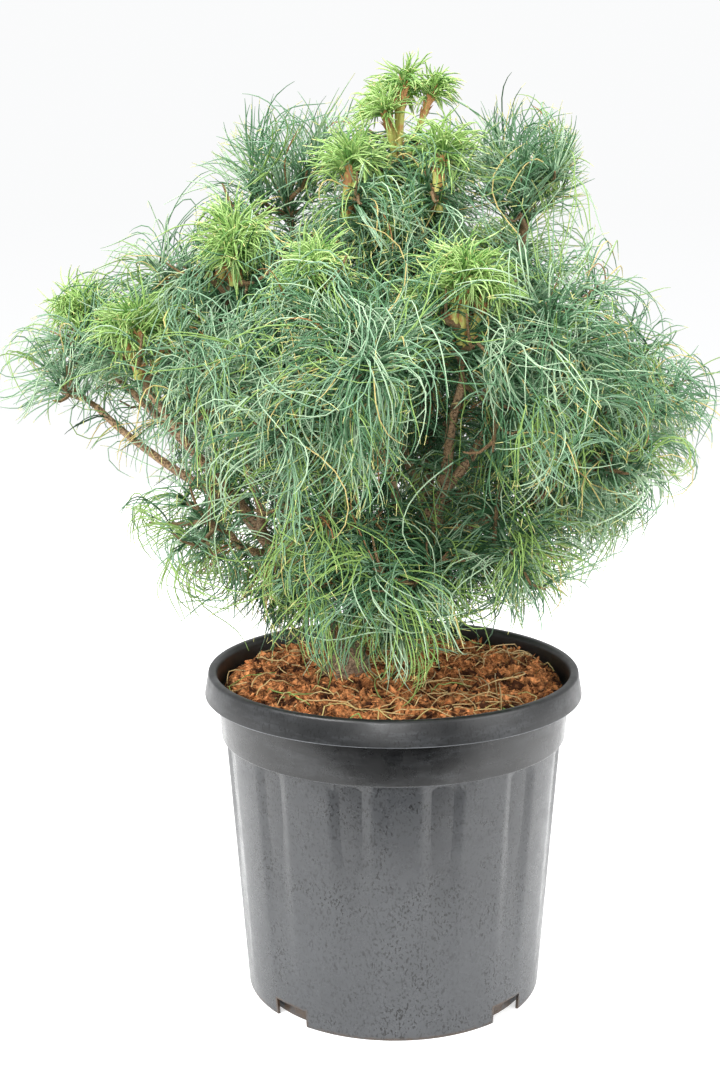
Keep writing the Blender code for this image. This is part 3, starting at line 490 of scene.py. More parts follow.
def lines_mesh(name, points, **attributes):
    """A mesh of open chains from an array of chains by points by three, with values on the points."""
    chains, length = points.shape[:2]
    mesh = bpy.data.meshes.new(name)
    mesh.vertices.add(chains * length)
    mesh.vertices.foreach_set("co", points.astype(np.float32).ravel())
    first = (np.arange(chains)[:, None] * length + np.arange(length - 1)).ravel()
    mesh.edges.add(len(first))
    mesh.edges.foreach_set("vertices", np.stack([first, first + 1], axis=1).astype(np.int32).ravel())
    for key, values in attributes.items():
        attribute = mesh.attributes.new(key, "FLOAT", "POINT")
        attribute.data.foreach_set("value", np.broadcast_to(values, (chains, length)).astype(np.float32).ravel())
    return mesh


def joined_lines(name, chains):
    """One mesh of open chains of unlike lengths, each given as points, radii and a youth."""
    mesh = bpy.data.meshes.new(name)
    points = np.concatenate([chain[0] for chain in chains])
    radii = np.concatenate([chain[1] for chain in chains])
    youth = np.concatenate([np.broadcast_to(chain[2], len(chain[0])) for chain in chains])
    edges, count = [], 0
    for chain in chains:
        steps = np.arange(count, count + len(chain[0]) - 1)
        edges.append(np.stack([steps, steps + 1], axis=1))
        count += len(chain[0])
    edges = np.concatenate(edges)
    mesh.vertices.add(count)
    mesh.vertices.foreach_set("co", points.astype(np.float32).ravel())
    mesh.edges.add(len(edges))
    mesh.edges.foreach_set("vertices", edges.astype(np.int32).ravel())
    for key, values in (("radius", radii), ("youth", youth)):
        attribute = mesh.attributes.new(key, "FLOAT", "POINT")
        attribute.data.foreach_set("value", values.astype(np.float32))
    return mesh


# Settings

class PinePotSettings(bpy.types.PropertyGroup):
    flutes: IntProperty(name="Flutes", description="Grooves round the body", default=12, min=3)
    flute_depth: FloatProperty(name="Flute depth", description="How far the flutes sink in",
                               default=3.2 * MM, unit="LENGTH")
    colour: FloatVectorProperty(name="Plastic", description="Colour of the pot", subtype="COLOR",
                                size=3, default=(0.048, 0.051, 0.055))


class PineCoirSettings(bpy.types.PropertyGroup):
    fibres: FloatProperty(name="Fibres", description="Coir fibres on each square metre", default=60000.0)
    chips: FloatProperty(name="Chips", description="Coir chips on each square metre", default=100000.0)
    fallen: IntProperty(name="Fallen needles", description="Needles that lie on the coir", default=120)
    colour: FloatVectorProperty(name="Coir", description="Colour of the coir", subtype="COLOR",
                                size=3, default=(0.540, 0.225, 0.085))
    shreds: FloatVectorProperty(name="Shreds", description="Colour of the pale shreds in the coir",
                                subtype="COLOR", size=3, default=(0.600, 0.385, 0.190))


class PineLimbSettings(bpy.types.PropertyGroup):
    sides: IntProperty(name="Sides", description="Faces round each limb", default=16, min=6)
    spacing: FloatProperty(name="Spacing", description="Length of each face along a limb",
                           default=3 * MM, unit="LENGTH")
    relief: FloatProperty(name="Relief", description="Height of the bark's relief",
                          default=0.7 * MM, unit="LENGTH")


class PineNeedleSettings(bpy.types.PropertyGroup):
    bundles: IntProperty(name="Bundles", description="Needle bundles on each shoot", default=9)
    in_bundle: IntProperty(name="Needles in a bundle", description="Needles that share a root", default=5)
    inner_spacing: FloatProperty(name="Inner spacing", description="Step between bundles on the boughs",
                                 default=3.2 * MM, unit="LENGTH")
    radius: FloatProperty(name="Needle radius", description="Half a needle's thickness",
                          default=0.60 * MM, unit="LENGTH")
    squiggle: FloatProperty(name="Squiggle", description="How far each needle twists out of its arch",
                            default=2.5, subtype="ANGLE")


class PineCandleSettings(bpy.types.PropertyGroup):
    radius: FloatProperty(name="Candle radius", description="Half a candle's thickness",
                          default=3.6 * MM, unit="LENGTH")
    needles: IntProperty(name="Young needles", description="Young needles on each candle", default=112)
    scales: IntProperty(name="Scales", description="Papery scales on each candle", default=34)


class PineStageSettings(bpy.types.PropertyGroup):
    lens: FloatProperty(name="Lens", description="Focal length in millimetres", default=53.89)
    floor: FloatVectorProperty(name="Floor", description="Colour of the floor", subtype="COLOR",
                               size=3, default=(0.90, 0.90, 0.90))


# Growth

def bowed_path(start, tip, bow, steps, rng):
    """Points of a limb: a quadratic curve with a slight wobble that dies out at both ends."""
    handle = (start + tip) / 2 + bow
    phase = rng.uniform(0.0, 2 * math.pi)
    side = np.cross(tip - start, (0.0, 0.0, 1.0))
    side = side / (np.linalg.norm(side) + 1e-9)
    points = []
    for i in range(steps + 1):
        t = i / steps
        point = (1 - t) ** 2 * start + 2 * t * (1 - t) * handle + t * t * tip
        wobble = math.sin(2 * math.pi * 1.5 * t + phase) * 4 * t * (1 - t)
        points.append(point + side * LIMB_WOBBLE * wobble)
    return np.array(points)


def trunk_path():
    """Points and radii of the trunk from its flat cut at the substrate to its fork."""
    foot = np.array([*in_cm(TRUNK_FOOT), SUBSTRATE_TOP + GAP])
    lean = np.array([*in_cm(TRUNK_LEAN), TRUNK_LENGTH])
    points, radii = [], []
    for i in range(FINE_STEPS + 1):
        t = i / FINE_STEPS
        sway = max(0.0, t - 1 / TRUNK_STEPS) * TRUNK_STEPS / (TRUNK_STEPS - 1)
        points.append(foot + lean * np.array([sway * sway, sway * sway, t]))
        radii.append(TRUNK_NECK + (TRUNK_FLARE - TRUNK_NECK) * (1 - t) ** FLARE_POWER)
    return np.array(points), np.array(radii)


def along(path, share):
    """The point at a share of a path's length."""
    lengths = np.linalg.norm(np.diff(path, axis=0), axis=1)
    walked = np.concatenate([[0.0], np.cumsum(lengths)])
    return np.array([np.interp(share * walked[-1], walked, path[:, k]) for k in range(3)])


def path_length(path):
    """Length of a chain of points."""
    return float(np.linalg.norm(np.diff(path, axis=0), axis=1).sum())


def limb_paths():
    """Points and radii of the trunk, the leaders and the boughs, by name."""
    paths = {"trunk": trunk_path()}
    for number, (name, limb) in enumerate({**LEADERS, **BOUGHS}.items()):
        rng = random.Random(SEED + number)
        start = along(paths[limb.parent][0], limb.share)
        points = bowed_path(start, in_cm(limb.tip), in_cm(limb.bow), FINE_STEPS, rng)
        radii = np.linspace(limb.foot_radius, limb.tip_radius, FINE_STEPS + 1) * MM
        paths[name] = (points, radii)
    return paths


def turned_away(axis, angle, turn):
    """The axis tilted by an angle towards a turn around it."""
    axis = Vector(axis).normalized()
    side = axis.orthogonal().normalized()
    tilted = Matrix.Rotation(angle, 3, side) @ axis
    return np.array(Matrix.Rotation(turn, 3, axis) @ tilted)


def stem_path(number, mass, paths):
    """The stem of a mass, from its limb's axis to its head."""
    rng = random.Random(SEED + 100 + number)
    start = along(paths[mass.limb][0], mass.share)
    head = in_cm(mass.head)
    sag = np.array([0.0, 0.0, -0.08 * np.linalg.norm(head - start)])
    return bowed_path(start, head, sag, 3 * STEM_STEPS, rng)


def twig_paths(mass, stem, rng):
    """Side twigs of a mass, set by the golden turn round its stem and lifted at their tips."""
    twigs = []
    phase = rng.uniform(0.0, 2 * math.pi)
    ahead = stem[-1] - stem[-4]
    for k in range(mass.twigs):
        root = along(stem, FIRST_TWIG + (0.92 - FIRST_TWIG) * k / max(1, mass.twigs - 1))
        length = mass.twig * CM * rng.uniform(0.85, 1.1)
        heading = turned_away(ahead, TWIG_ANGLE, phase + GOLDEN_TURN * k)
        middle = root + heading * length * 0.55
        heading[2] += TWIG_LIFT
        tip = middle + heading / np.linalg.norm(heading) * length * 0.45
        twigs.append(np.array([root, middle, tip]))
    return twigs


def crown_share(points):
    """How far points lie out towards the crown's outline, where 1 is on it."""
    rows = np.array(CROWN).T * CM
    left, right, front, back = (np.interp(points[..., 2], rows[0], row) for row in rows[1:])
    wide = points[..., 0] / np.where(points[..., 0] < 0, left, right)
    deep = points[..., 1] / np.where(points[..., 1] < 0, front, back)
    return np.hypot(wide, deep)


def crown_underside(points):
    """Height of the crown's underside at some points."""
    (side, under), (deep, rise) = np.array(UNDERSIDE).T * CM, np.array(UNDERSIDE_RISE).T * CM
    return np.interp(points[..., 0], side, under) + np.interp(np.abs(points[..., 1]), deep, rise)


def crown_top(points):
    """Height of the crown's top at some points."""
    side, top = np.array(TOPS).T * CM
    return np.interp(points[..., 0], side, top)


def fine_twigs(twigs, rng):
    """Finer twigs that branch from the side twigs by the same turn and lift."""
    fine = []
    for twig in twigs:
        phase = rng.uniform(0.0, 2 * math.pi)
        length = path_length(twig) * FINE_TWIG_SHARE
        for k in range(FINE_TWIGS):
            root = along(twig, 0.42 + 0.34 * k)
            heading = turned_away(twig[-1] - twig[0], TWIG_ANGLE * 0.85, phase + GOLDEN_TURN * 1.3 * k)
            middle = root + heading * length * 0.55
            heading[2] += FINE_TWIG_LIFT
            tip = middle + heading / np.linalg.norm(heading) * length * 0.45 * rng.uniform(0.8, 1.2)
            if crown_share(tip) < 0.9:
                fine.append(np.array([root, middle, tip]))
    return fine


def grow():
    """Every limb by name, and for each mass its stem, side twigs, fine twigs and candles."""
    paths = limb_paths()
    masses = {}
    for number, (name, mass) in enumerate(MASSES.items()):
        stem = stem_path(number, mass, paths)
        twigs = twig_paths(mass, stem, random.Random(SEED + 200 + number))
        fine = fine_twigs(twigs, random.Random(SEED + 300 + number))
        reach = CREST_REACH if name == "needles_crest" else CANDLE_REACH
        ends = [along(twig, reach) for twig in twigs] + [stem[-1]]
        candles = []
        for k in range(mass.candles):
            lean = turned_away((0.0, 0.0, 1.0), CANDLE_LEAN * (0.3 + 0.7 * (k > 0)), GOLDEN_TURN * k)
            at_head = k % len(ends) == 0
            candles.append((ends[-1 - k % len(ends)] - lean * CANDLE_SUNK * at_head, lean))
        masses[name] = (stem, twigs, fine, candles)
    return paths, masses


LIMBS, GROWTH = grow()


# Needles

# How a needle grows: its length, the turn of its arch, how it hangs, how its plane twists,
# half its thickness, the tones of its foot and its end, how many share a root at what spread,
# and how far it strays from the twist of its neighbours
Habit = namedtuple("Habit", "length arch hang curl radius foot end count spread loose", defaults=(0.2,))


class Needles:
    """Needles that wait to be drawn, each with its root, heading, bends, thickness and shades."""

    def __init__(self, shades):
        self.names = list(shades)
        self.rows = []

    def add_bundle(self, rng, weights, root, heading, habit):
        """Needles from one root that arch alike, and curl as their neighbours do, so that they lie in locks."""
        shade = rng.choices(range(len(weights)), weights)[0]
        place = Vector(root / LOCK_SIZE + heading * LOCK_TURN)
        twist = np.array([noise.noise(place + Vector(offset)) for offset in LOCK_OFFSETS])
        twist = twist / (np.linalg.norm(twist) + 1e-6) + np.array([rng.gauss(0.0, habit.loose) for _ in range(3)])
        ahead = heading / np.linalg.norm(heading)
        twist = twist - 0.8 * ahead * (twist @ ahead)
        twist = twist / np.linalg.norm(twist) * habit.curl * rng.uniform(0.6, 1.25)
        phase = 1.5 * noise.noise(place + Vector((7.0, 3.0, 5.0))) + rng.gauss(0.0, 0.08)
        arch = habit.arch * (1 + 0.5 * noise.noise(place + Vector((2.0, 9.0, 4.0)))) * rng.uniform(0.85, 1.15)
        for _ in range(habit.count):
            way = heading + np.array([rng.gauss(0.0, habit.spread) for _ in range(3)])
            over = np.cross(way, (0.0, 0.0, -1.0))
            over = over / (np.linalg.norm(over) + 1e-6) * arch * rng.uniform(0.85, 1.15)
            own = twist + np.array([rng.gauss(0.0, 0.15 * habit.curl) for _ in range(3)])
            dry = rng.random()
            tone = 6 if dry < RUST_SHARE else 5 if dry < RUST_SHARE + DRY_SHARE else shade
            young = habit.end is not None
            self.rows.append((*root, *way, *over, *own, habit.length * rng.uniform(0.74, 1.08), habit.hang,
                              habit.radius * rng.uniform(0.85, 1.15), shade if young else tone, habit.foot,
                              habit.end if young else tone, rng.random() < TIPPED_SHARE, rng.random(),
                              rng.gauss(0.0, 1.0), phase + rng.gauss(0.0, 0.04)))

    def curved(self, table, length, shares):
        """Points of the needles: each turns about its arch and its twist, and hangs."""
        point, way, over, twist = table[:, 0:3], table[:, 3:6], table[:, 6:9], table[:, 9:12]
        cut = length / table[:, 12]
        hang, phase = table[:, 13] * cut, table[:, 21]
        way = way / np.linalg.norm(way, axis=1, keepdims=True)
        points = [point]
        for before, after in zip(shares[:-1], shares[1:]):
            middle = (before + after) / 2
            wave = 0.5 + 1.6 * np.sin(2 * math.pi * (WAVES * middle + phase))
            way = way + np.cross(over * (0.75 + 0.6 * middle) + twist * wave[:, None], way) * (after - before) * cut[:, None]
            way[:, 2] -= hang * (after - before)
            way = way / np.linalg.norm(way, axis=1, keepdims=True)
            point = point + way * (length * (after - before))[:, None]
            points.append(point)
        return np.stack(points, axis=1)

    def chains(self, steps, pruned=True):
        """Points, radii, shades and tips of the needles, those that reach past the crown made shorter."""
        table = np.array(self.rows, float)
        length, luck, jitter = table[:, 12].copy(), table[:, 19], table[:, 20]
        shares = np.append(np.linspace(0.0, 1 - TIP_STEP, steps) ** 0.9, 1.0)
        points = self.curved(table, length, shares)
        if pruned:
            for _ in range(SHORTENINGS):
                length[self.outside(points, luck, jitter)] *= SHORTER
                points = self.curved(table, length, shares)
            keep = ~self.outside(points, luck, jitter) & self.clear(points, luck)
            table, points = table[keep], points[keep]
        radius, shade, foot, end, tipped = (column[:, None] for column in table[:, 14:19].T)
        walked = shares[None]
        radii = radius * np.interp(walked, (0.0, 0.12, 0.8, 1.0), (0.7, 1.0, 0.85, 0.3))
        tones = np.where(walked < 0.2, foot, np.where(walked > 0.7, end, shade))
        return points, radii, tones, tipped * (walked > 0.99)

    def outside(self, points, luck, jitter):
        """Which needles reach past the crown's outline, top and underside, or touch the pot."""
        across = np.hypot(points[..., 0], points[..., 1])
        floor = np.where(across < RIM_INNER_RADIUS - 2 * CM, LOWEST_OVER_COIR, LOWEST_NEEDLE)
        low, high = np.array(CAD_BOX[0]) - BOX_MARGIN, np.array(CAD_BOX[1]) + BOX_MARGIN
        out = ((points[..., 2] < floor) | (points < low).any(2) | (points > high).any(2)).any(1)
        own = jitter[:, None]
        out |= (crown_share(points) > 1.02 + 0.07 * own + 0.1 * (luck > 1 - LOOSE_SHARE)[:, None]).any(1)
        out |= (points[..., 2] > crown_top(points) + 0.7 * CM * own).any(1)
        return out | (points[:, 3:, 2] < crown_underside(points[:, 3:]) + 1.2 * CM * own).any(1)

    def clear(self, points, luck):
        """Which needles stay out of the crown's hollows."""
        keep = np.ones(len(points), bool)
        middle = points[:, len(points[0]) // 3:]
        for centre, reach, kept in HOLLOWS:
            apart = np.linalg.norm((middle - in_cm(centre)) / in_cm(reach), axis=2).min(1)
            keep &= (apart > 1.0) | (luck < kept)
        return keep

    def draw(self, name, steps, materials, pruned=True):
        """One mesh object of all the needles, coloured by shade, with pale tips."""
        points, radii, shade, tips = self.chains(steps, pruned)
        mesh = lines_mesh(name, points, radius=radii, shade=shade, tip=tips)
        obj = link_object(name, mesh)
        tree = needle_tree(self.names)
        values = {f"Shade {shade_name}": materials[shade_name] for shade_name in self.names}
        run_tree(obj, tree, {**values, "Tip": materials["tip"], "Sides": 3, "Thickness": 1.0})
        for key in ("radius", "shade", "tip"):
            if key in obj.data.attributes:
                obj.data.attributes.remove(obj.data.attributes[key])
        return obj


def needle_tree(shades):
    """Tree that sweeps chains into slim needles and gives each its shade, and its tip a pale one."""
    name = "needles_of_" + "_".join(shades)
    if name in bpy.data.node_groups:
        return bpy.data.node_groups[name]
    sockets = [("Sides", "NodeSocketInt", 3), ("Thickness", "NodeSocketFloat", 1.0)]
    sockets += [(f"Shade {shade}", "NodeSocketMaterial", None) for shade in shades]
    tree, start, end = geometry_tree(name, sockets + [("Tip", "NodeSocketMaterial", None)])
    radius = node(tree, "GeometryNodeInputNamedAttribute", {"Name": "radius"}, data_type="FLOAT")
    thickness = node(tree, "ShaderNodeMath", {0: radius.outputs["Attribute"], 1: start["Thickness"]},
                     operation="MULTIPLY")
    curve = node(tree, "GeometryNodeMeshToCurve", {"Mesh": start["Geometry"]})
    ring = node(tree, "GeometryNodeCurvePrimitiveCircle", {"Resolution": start["Sides"], "Radius": 1.0})
    sweep = node(tree, "GeometryNodeCurveToMesh", {
        "Curve": curve.outputs["Curve"], "Profile Curve": ring.outputs["Curve"],
        "Scale": thickness.outputs[0], "Fill Caps": True})
    smooth = node(tree, "GeometryNodeSetShadeSmooth", {"Geometry": sweep.outputs["Mesh"]})
    flow = node(tree, "GeometryNodeRealizeInstances", {"Geometry": smooth.outputs["Geometry"]}).outputs[0]
    dealt = node(tree, "GeometryNodeInputNamedAttribute", {"Name": "shade"}, data_type="FLOAT")
    for number, shade in enumerate(shades):
        chosen = node(tree, "FunctionNodeCompare", {0: dealt.outputs["Attribute"], 1: float(number), 12: 0.501},
                      data_type="FLOAT", operation="EQUAL")
        flow = node(tree, "GeometryNodeSetMaterial", {
            "Geometry": flow, "Selection": chosen.outputs[0], "Material": start[f"Shade {shade}"]}).outputs[0]
    tip = node(tree, "GeometryNodeInputNamedAttribute", {"Name": "tip"}, data_type="FLOAT")
    pale = node(tree, "FunctionNodeCompare", {0: tip.outputs["Attribute"], 1: 0.3}, data_type="FLOAT",
                operation="GREATER_THAN")
    last = node(tree, "GeometryNodeSetMaterial", {
        "Geometry": flow, "Selection": pale.outputs[0], "Material": start["Tip"]})
    tree.links.new(last.outputs[0], end.inputs["Geometry"])
    return tree


def needle_materials():
    """One plain material for each shade, shared by all the needles."""
    made = {}
    for shade, colour in {**SHADES, **YOUNG_SHADES, **FALLEN_SHADES, "tip": TIP_COLOUR}.items():
        name = f"needle_{shade}"
        if name not in bpy.data.materials:
            material, _, shader = new_material(name, colour, 0.42)
            shader.inputs["Specular IOR Level"].default_value = 0.45
        made[shade] = bpy.data.materials[name]
    return made


def shoot_needles(needles, path, mass, rng, settings, bundles):
    """A fountain of bundles up a shoot's last stretch, wide at its foot and closing to its tip."""
    droop = (mass.hang - 0.4) / 0.6
    upright = max(0.0, 1 - droop * 3)
    first = max(0.12, 1 - NEEDLE_ZONE / path_length(path))
    topped = mass.candles > 1
    last = BARE_UNDER_CANDLES if topped else 0.995
    axis = path[-1] - path[-2]
    axis = axis / np.linalg.norm(axis) + np.array([0.0, 0.0, 0.5 + 3.0 * upright])
    phase = rng.uniform(0.0, 2 * math.pi)
    for k in range(bundles):
        share = (k + rng.random()) / bundles
        root = along(path, first + (last - first) * share ** 0.8)
        cone = math.radians(92 - 66 * share) * rng.uniform(0.8, 1.2) * (1 - 0.6 * upright)
        heading = turned_away(axis, cone, phase + GOLDEN_TURN * k)
        if topped:
            heading[2] = min(heading[2], 0.15)
        # Deep in the crown the needles take darker shades as painted shade, and low ones lighter shades, partly as
        # painted light
        reached = crown_share(root + heading * 4 * CM)
        weights = LOW_LIGHTENED_WEIGHTS if root[2] < LOW_FOLIAGE else OUTER_WEIGHTS
        if reached < INNER_REACH * rng.uniform(0.85, 1.15) and root[2] < HIGH_FOLIAGE:
            weights = INNER_SHADE_WEIGHTS
        needles.add_bundle(rng, weights, root, heading, Habit(
            mass.needle * CM * (0.9 + 0.2 * share), 0.5 + 1.9 * droop * droop, 0.12 * droop,
            settings.squiggle * (1 - 0.5 * upright), settings.radius, 0, None, settings.in_bundle, 0.13))


class PineGrowNeedles(bpy.types.Operator):
    """Grow the needles of every mass, four masses to a piece"""
    bl_idname = "pine.grow_needles"
    bl_label = "Grow needles"

    def execute(self, context):
        settings = context.scene.pine_needles
        materials = needle_materials()
        names = list(MASSES)
        for number, piece in enumerate(NEEDLE_PIECES):
            needles = Needles(SHADES)
            group = names[number * MASSES_IN_PIECE:(number + 1) * MASSES_IN_PIECE]
            for name in group:
                mass = MASSES[name]
                rng = random.Random(SEED + 400 + names.index(name))
                stem, twigs, fine, _ = GROWTH[name]
                for share, paths in ((2.6, [stem]), (1.25, twigs), (0.6, fine)):
                    bundles = round(settings.bundles * share * SPARSE.get(name, 1.0))
                    for path in paths:
                        shoot_needles(needles, path, mass, rng, settings, bundles)
            obj = needles.draw(f"needles_of_the_{piece}", NEEDLE_STEPS, materials)
            dress(obj, "needles", *group)
        inner = {"leaders": Needles(SHADES), "boughs": Needles(SHADES)}
        rng = random.Random(SEED + 450)
        for name in (*LEADERS, *BOUGHS):
            kind = "leaders" if name in LEADERS else "boughs"
            points = LIMBS[name][0]
            bare = INNER_FIRST_LEFT if name.startswith("bough_left") else INNER_FIRST
            if name in ("leader_left", "leader_right"):
                bare = INNER_FIRST_LOW
            count = round(path_length(points) * (1 - bare) / settings.inner_spacing * (4 if kind == "leaders" else 1))
            for k in range(count):
                share = bare + (1 - bare) * k / count
                root = along(points, share)
                heading = turned_away(along(points, min(1.0, share + 0.05)) - root + 1e-6, math.radians(55),
                                      GOLDEN_TURN * k)
                inner[kind].add_bundle(rng, BARE_WOOD_WEIGHTS, root, heading, Habit(
                    rng.uniform(5.5, 9.0) * CM, 1.5, 0.3, settings.squiggle, settings.radius, 0, None, 4, 0.14))
        for kind, needles in inner.items():
            dress(needles.draw(f"needles_along_the_{kind}", INNER_STEPS, materials), "needles")
        return {"FINISHED"}


# Candles

def candle_stems():
    """Every candle as its root, heading, length and tuft: some places bear a shorter one beside it."""
    stems = []
    rng = random.Random(SEED + 500)
    for name, (_, _, _, candles) in GROWTH.items():
        full = CANDLE_LENGTH * 0.66 * CANDLE_SHARES.get(name, 1.0)
        tuft = CREST_TUFT if name == "needles_crest" else OPEN_TUFT
        for number, (root, lean) in enumerate(candles):
            turn, beside = rng.uniform(0.0, 2 * math.pi), rng.random()
            length = full * rng.uniform(0.95, 1.08) + CANDLE_SUNK * 0.5 if number == 0 else full * rng.uniform(0.7, 1.0)
            if tuft is CREST_TUFT:
                length = (CREST_TOPS[number] * CM - root[2]) / lean[2]
            stems.append((root, lean, length, tuft))
            if beside < 0.4 and tuft is not CREST_TUFT:
                aside = turned_away(lean, rng.uniform(0.45, 0.7), turn)
                stems.append((root, aside, full * rng.uniform(0.45, 0.65), tuft))
    return stems


def sweep_tree():
    """Tree that sweeps chains into round stems with a raised surface."""
    name = "stems"
    if name in bpy.data.node_groups:
        return bpy.data.node_groups[name]
    tree, start, end = geometry_tree(name, [
        ("Sides", "NodeSocketInt", 12), ("Spacing", "NodeSocketFloat", 4 * MM),
        ("Relief", "NodeSocketFloat", 0.5 * MM), ("Relief Scale", "NodeSocketFloat", 160.0),
        ("Surface", "NodeSocketMaterial", None)])
    radius = node(tree, "GeometryNodeInputNamedAttribute", {"Name": "radius"}, data_type="FLOAT")
    curve = node(tree, "GeometryNodeMeshToCurve", {"Mesh": start["Geometry"]})
    even = node(tree, "GeometryNodeResampleCurve", {"Curve": curve.outputs["Curve"], "Length": start["Spacing"]},
                mode="LENGTH")
    ring = node(tree, "GeometryNodeCurvePrimitiveCircle", {"Resolution": start["Sides"], "Radius": 1.0})
    sweep = node(tree, "GeometryNodeCurveToMesh", {
        "Curve": even.outputs["Curve"], "Profile Curve": ring.outputs["Curve"],
        "Scale": radius.outputs["Attribute"], "Fill Caps": True})
    lumps = node(tree, "ShaderNodeTexNoise", {"Scale": start["Relief Scale"], "Detail": 3.0})
    height = node(tree, "ShaderNodeMath", {0: lumps.outputs["Fac"], 1: 0.5}, operation="SUBTRACT")
    lift = node(tree, "ShaderNodeMath", {0: height.outputs[0], 1: start["Relief"]}, operation="MULTIPLY")
    normal = node(tree, "GeometryNodeInputNormal")
    offset = node(tree, "ShaderNodeVectorMath", {0: normal.outputs[0], "Scale": lift.outputs[0]},
                  operation="SCALE")
    moved = node(tree, "GeometryNodeSetPosition", {"Geometry": sweep.outputs["Mesh"],
                                                   "Offset": offset.outputs[0]})
    smooth = node(tree, "GeometryNodeSetShadeSmooth", {"Geometry": moved.outputs["Geometry"]})
    real = node(tree, "GeometryNodeRealizeInstances", {"Geometry": smooth.outputs["Geometry"]})
    last = node(tree, "GeometryNodeSetMaterial", {"Geometry": real.outputs[0], "Material": start["Surface"]})
    tree.links.new(last.outputs[0], end.inputs["Geometry"])
    return tree


def candle_material():
    """Yellow-green young bark with brownish patches."""
    material, tree, shader = new_material("young_bark", (0.50, 0.50, 0.13), 0.5)
    patches = between(tree, grain(tree, place_of(tree), 260.0), 0.50, 0.66)
    colour = blended(tree, patches, (0.52, 0.52, 0.14), (0.52, 0.30, 0.09))
    tree.links.new(colour, shader.inputs["Base Color"])
    raised(tree, shader, grain(tree, place_of(tree), 900.0), 0.3 * MM, 0.4)
    return material


def scale_material():
    """Papery orange-brown of the scales."""
    material, tree, shader = new_material("scales", (0.42, 0.17, 0.06), 0.65)
    colour = blended(tree, grain(tree, place_of(tree), 400.0), (0.42, 0.15, 0.06), (0.72, 0.40, 0.18))
    tree.links.new(colour, shader.inputs["Base Color"])
    return material


def add_scale(bm, root, heading, out, length, width):
    """One pointed scale that lies along a stem and bends out at its tip."""
    side = heading.cross(out).normalized() * width
    rise = heading * length
    rings = [
        [root - side * 0.5 + out * 0.2 * MM, root + side * 0.5 + out * 0.2 * MM, root - out * 0.4 * MM],
        [root + rise * 0.5 - side + out * 1.3 * MM, root + rise * 0.5 + side + out * 1.3 * MM,
         root + rise * 0.5 + out * 2.0 * MM],
    ]
    corners = [[bm.verts.new(corner) for corner in ring] for ring in rings]
    tip = bm.verts.new(root + rise * 0.95 + out * 4.6 * MM)
    bm.faces.new(corners[0])
    for k in range(3):
        after = (k + 1) % 3
        bm.faces.new((corners[0][k], corners[0][after], corners[1][after], corners[1][k]))
        bm.faces.new((corners[1][k], corners[1][after], tip))


class PineGrowCandles(bpy.types.Operator):
    """Grow the candles: young stems with papery scales under tufts of short bright needles"""
    bl_idname = "pine.grow_candles"
    bl_label = "Grow candles"

    def execute(self, context):
        settings = context.scene.pine_candles
        needle_settings = context.scene.pine_needles
        rng = random.Random(SEED + 600)
        chains, tufts = [], {"high": Needles(YOUNG_SHADES), "low": Needles(YOUNG_SHADES)}
        scales = bmesh.new()
        for root, heading, length, tuft in candle_stems():
            needles = tufts["high" if root[2] > HIGH_CANDLES else "low"]
            share = 0.60 + 0.40 * min(1.0, length / (CANDLE_LENGTH * 0.6))
            thick = settings.radius * share * tuft.stout
            over = tuft.over * rng.uniform(0.75, 1.25)
            steps = np.linspace(0.0, 1.0, 8)[:, None]
            path = root + heading * length * steps
            radii = thick * np.interp(steps[:, 0], (0.0, 0.15, 0.9, 1.0), (0.85, 1.0, 0.85, 0.3))
            chains.append((path, radii, 1.0))
            for k in range(settings.scales):
                up = rng.uniform(0.0, 0.16) if k % 4 == 0 else tuft.bare + rng.uniform(-0.20, 0.08)
                out = Vector(turned_away(heading, math.pi / 2, GOLDEN_TURN * k + rng.uniform(-0.3, 0.3)))
                foot = Vector(along(path, up)) + out * thick * 0.8
                add_scale(scales, foot, Vector(heading), out, rng.uniform(7, 12) * MM, rng.uniform(1.0, 2.0) * MM)
            for k in range(settings.needles // 4):
                rise = (k + rng.random()) * 4 / settings.needles
                cone = math.radians(46 - 34 * rise) * rng.uniform(0.6, 1.25)
                way = turned_away(heading, cone, GOLDEN_TURN * k)
                foot = along(path, tuft.bare + (0.99 - tuft.bare) * rise)
                needles.add_bundle(rng, YOUNG_WEIGHTS, foot, way, Habit(
                    tuft.needle * rng.uniform(0.8, 1.2) * share, over * rng.uniform(0.8, 1.2), tuft.hang, tuft.curl,
                    needle_settings.radius * 1.25, 2, rng.choice((0, 0, 1)), 4, 0.16, 0.8))
        stems = link_object("candle_stems", joined_lines("candle_stems", chains))
        run_tree(stems, sweep_tree(), {"Sides": 8, "Spacing": 5 * MM, "Relief": 0.5 * MM,
                                       "Relief Scale": 300.0, "Surface": candle_material()})
        dress(stems, "bark")
        papery = link_object("candle_scales", mesh_from_bmesh("candle_scales", scales))
        papery.data.materials.append(scale_material())
        dress(papery, "bark")
        for part, needles in tufts.items():
            dress(needles.draw(f"young_needles_{part}", YOUNG_STEPS, needle_materials(), pruned=False), "needles")
        return {"FINISHED"}


# Limbs and twigs

def bark_material(name, old, young, patch, scale):
    """Bark that goes from old to young along a limb, with patches and fine cracks."""
    material, tree, shader = new_material(name, old, 0.85)
    youth = node(tree, "ShaderNodeAttribute", attribute_name="youth").outputs["Fac"]
    base = blended(tree, youth, old, young)
    place = place_of(tree)
    patches = between(tree, grain(tree, place, scale), 0.45, 0.7)
    spotted = blended(tree, patches, base, patch)
    cracks = between(tree, grain(tree, place, scale * 4, 6.0, 0.75), 0.55, 0.42)
    dark = blended(tree, cracks, spotted, tuple(0.35 * channel for channel in old))
    tree.links.new(dark, shader.inputs["Base Color"])
    raised(tree, shader, grain(tree, place, scale * 3, 6.0, 0.7), 0.8 * MM, 0.7)
    return material


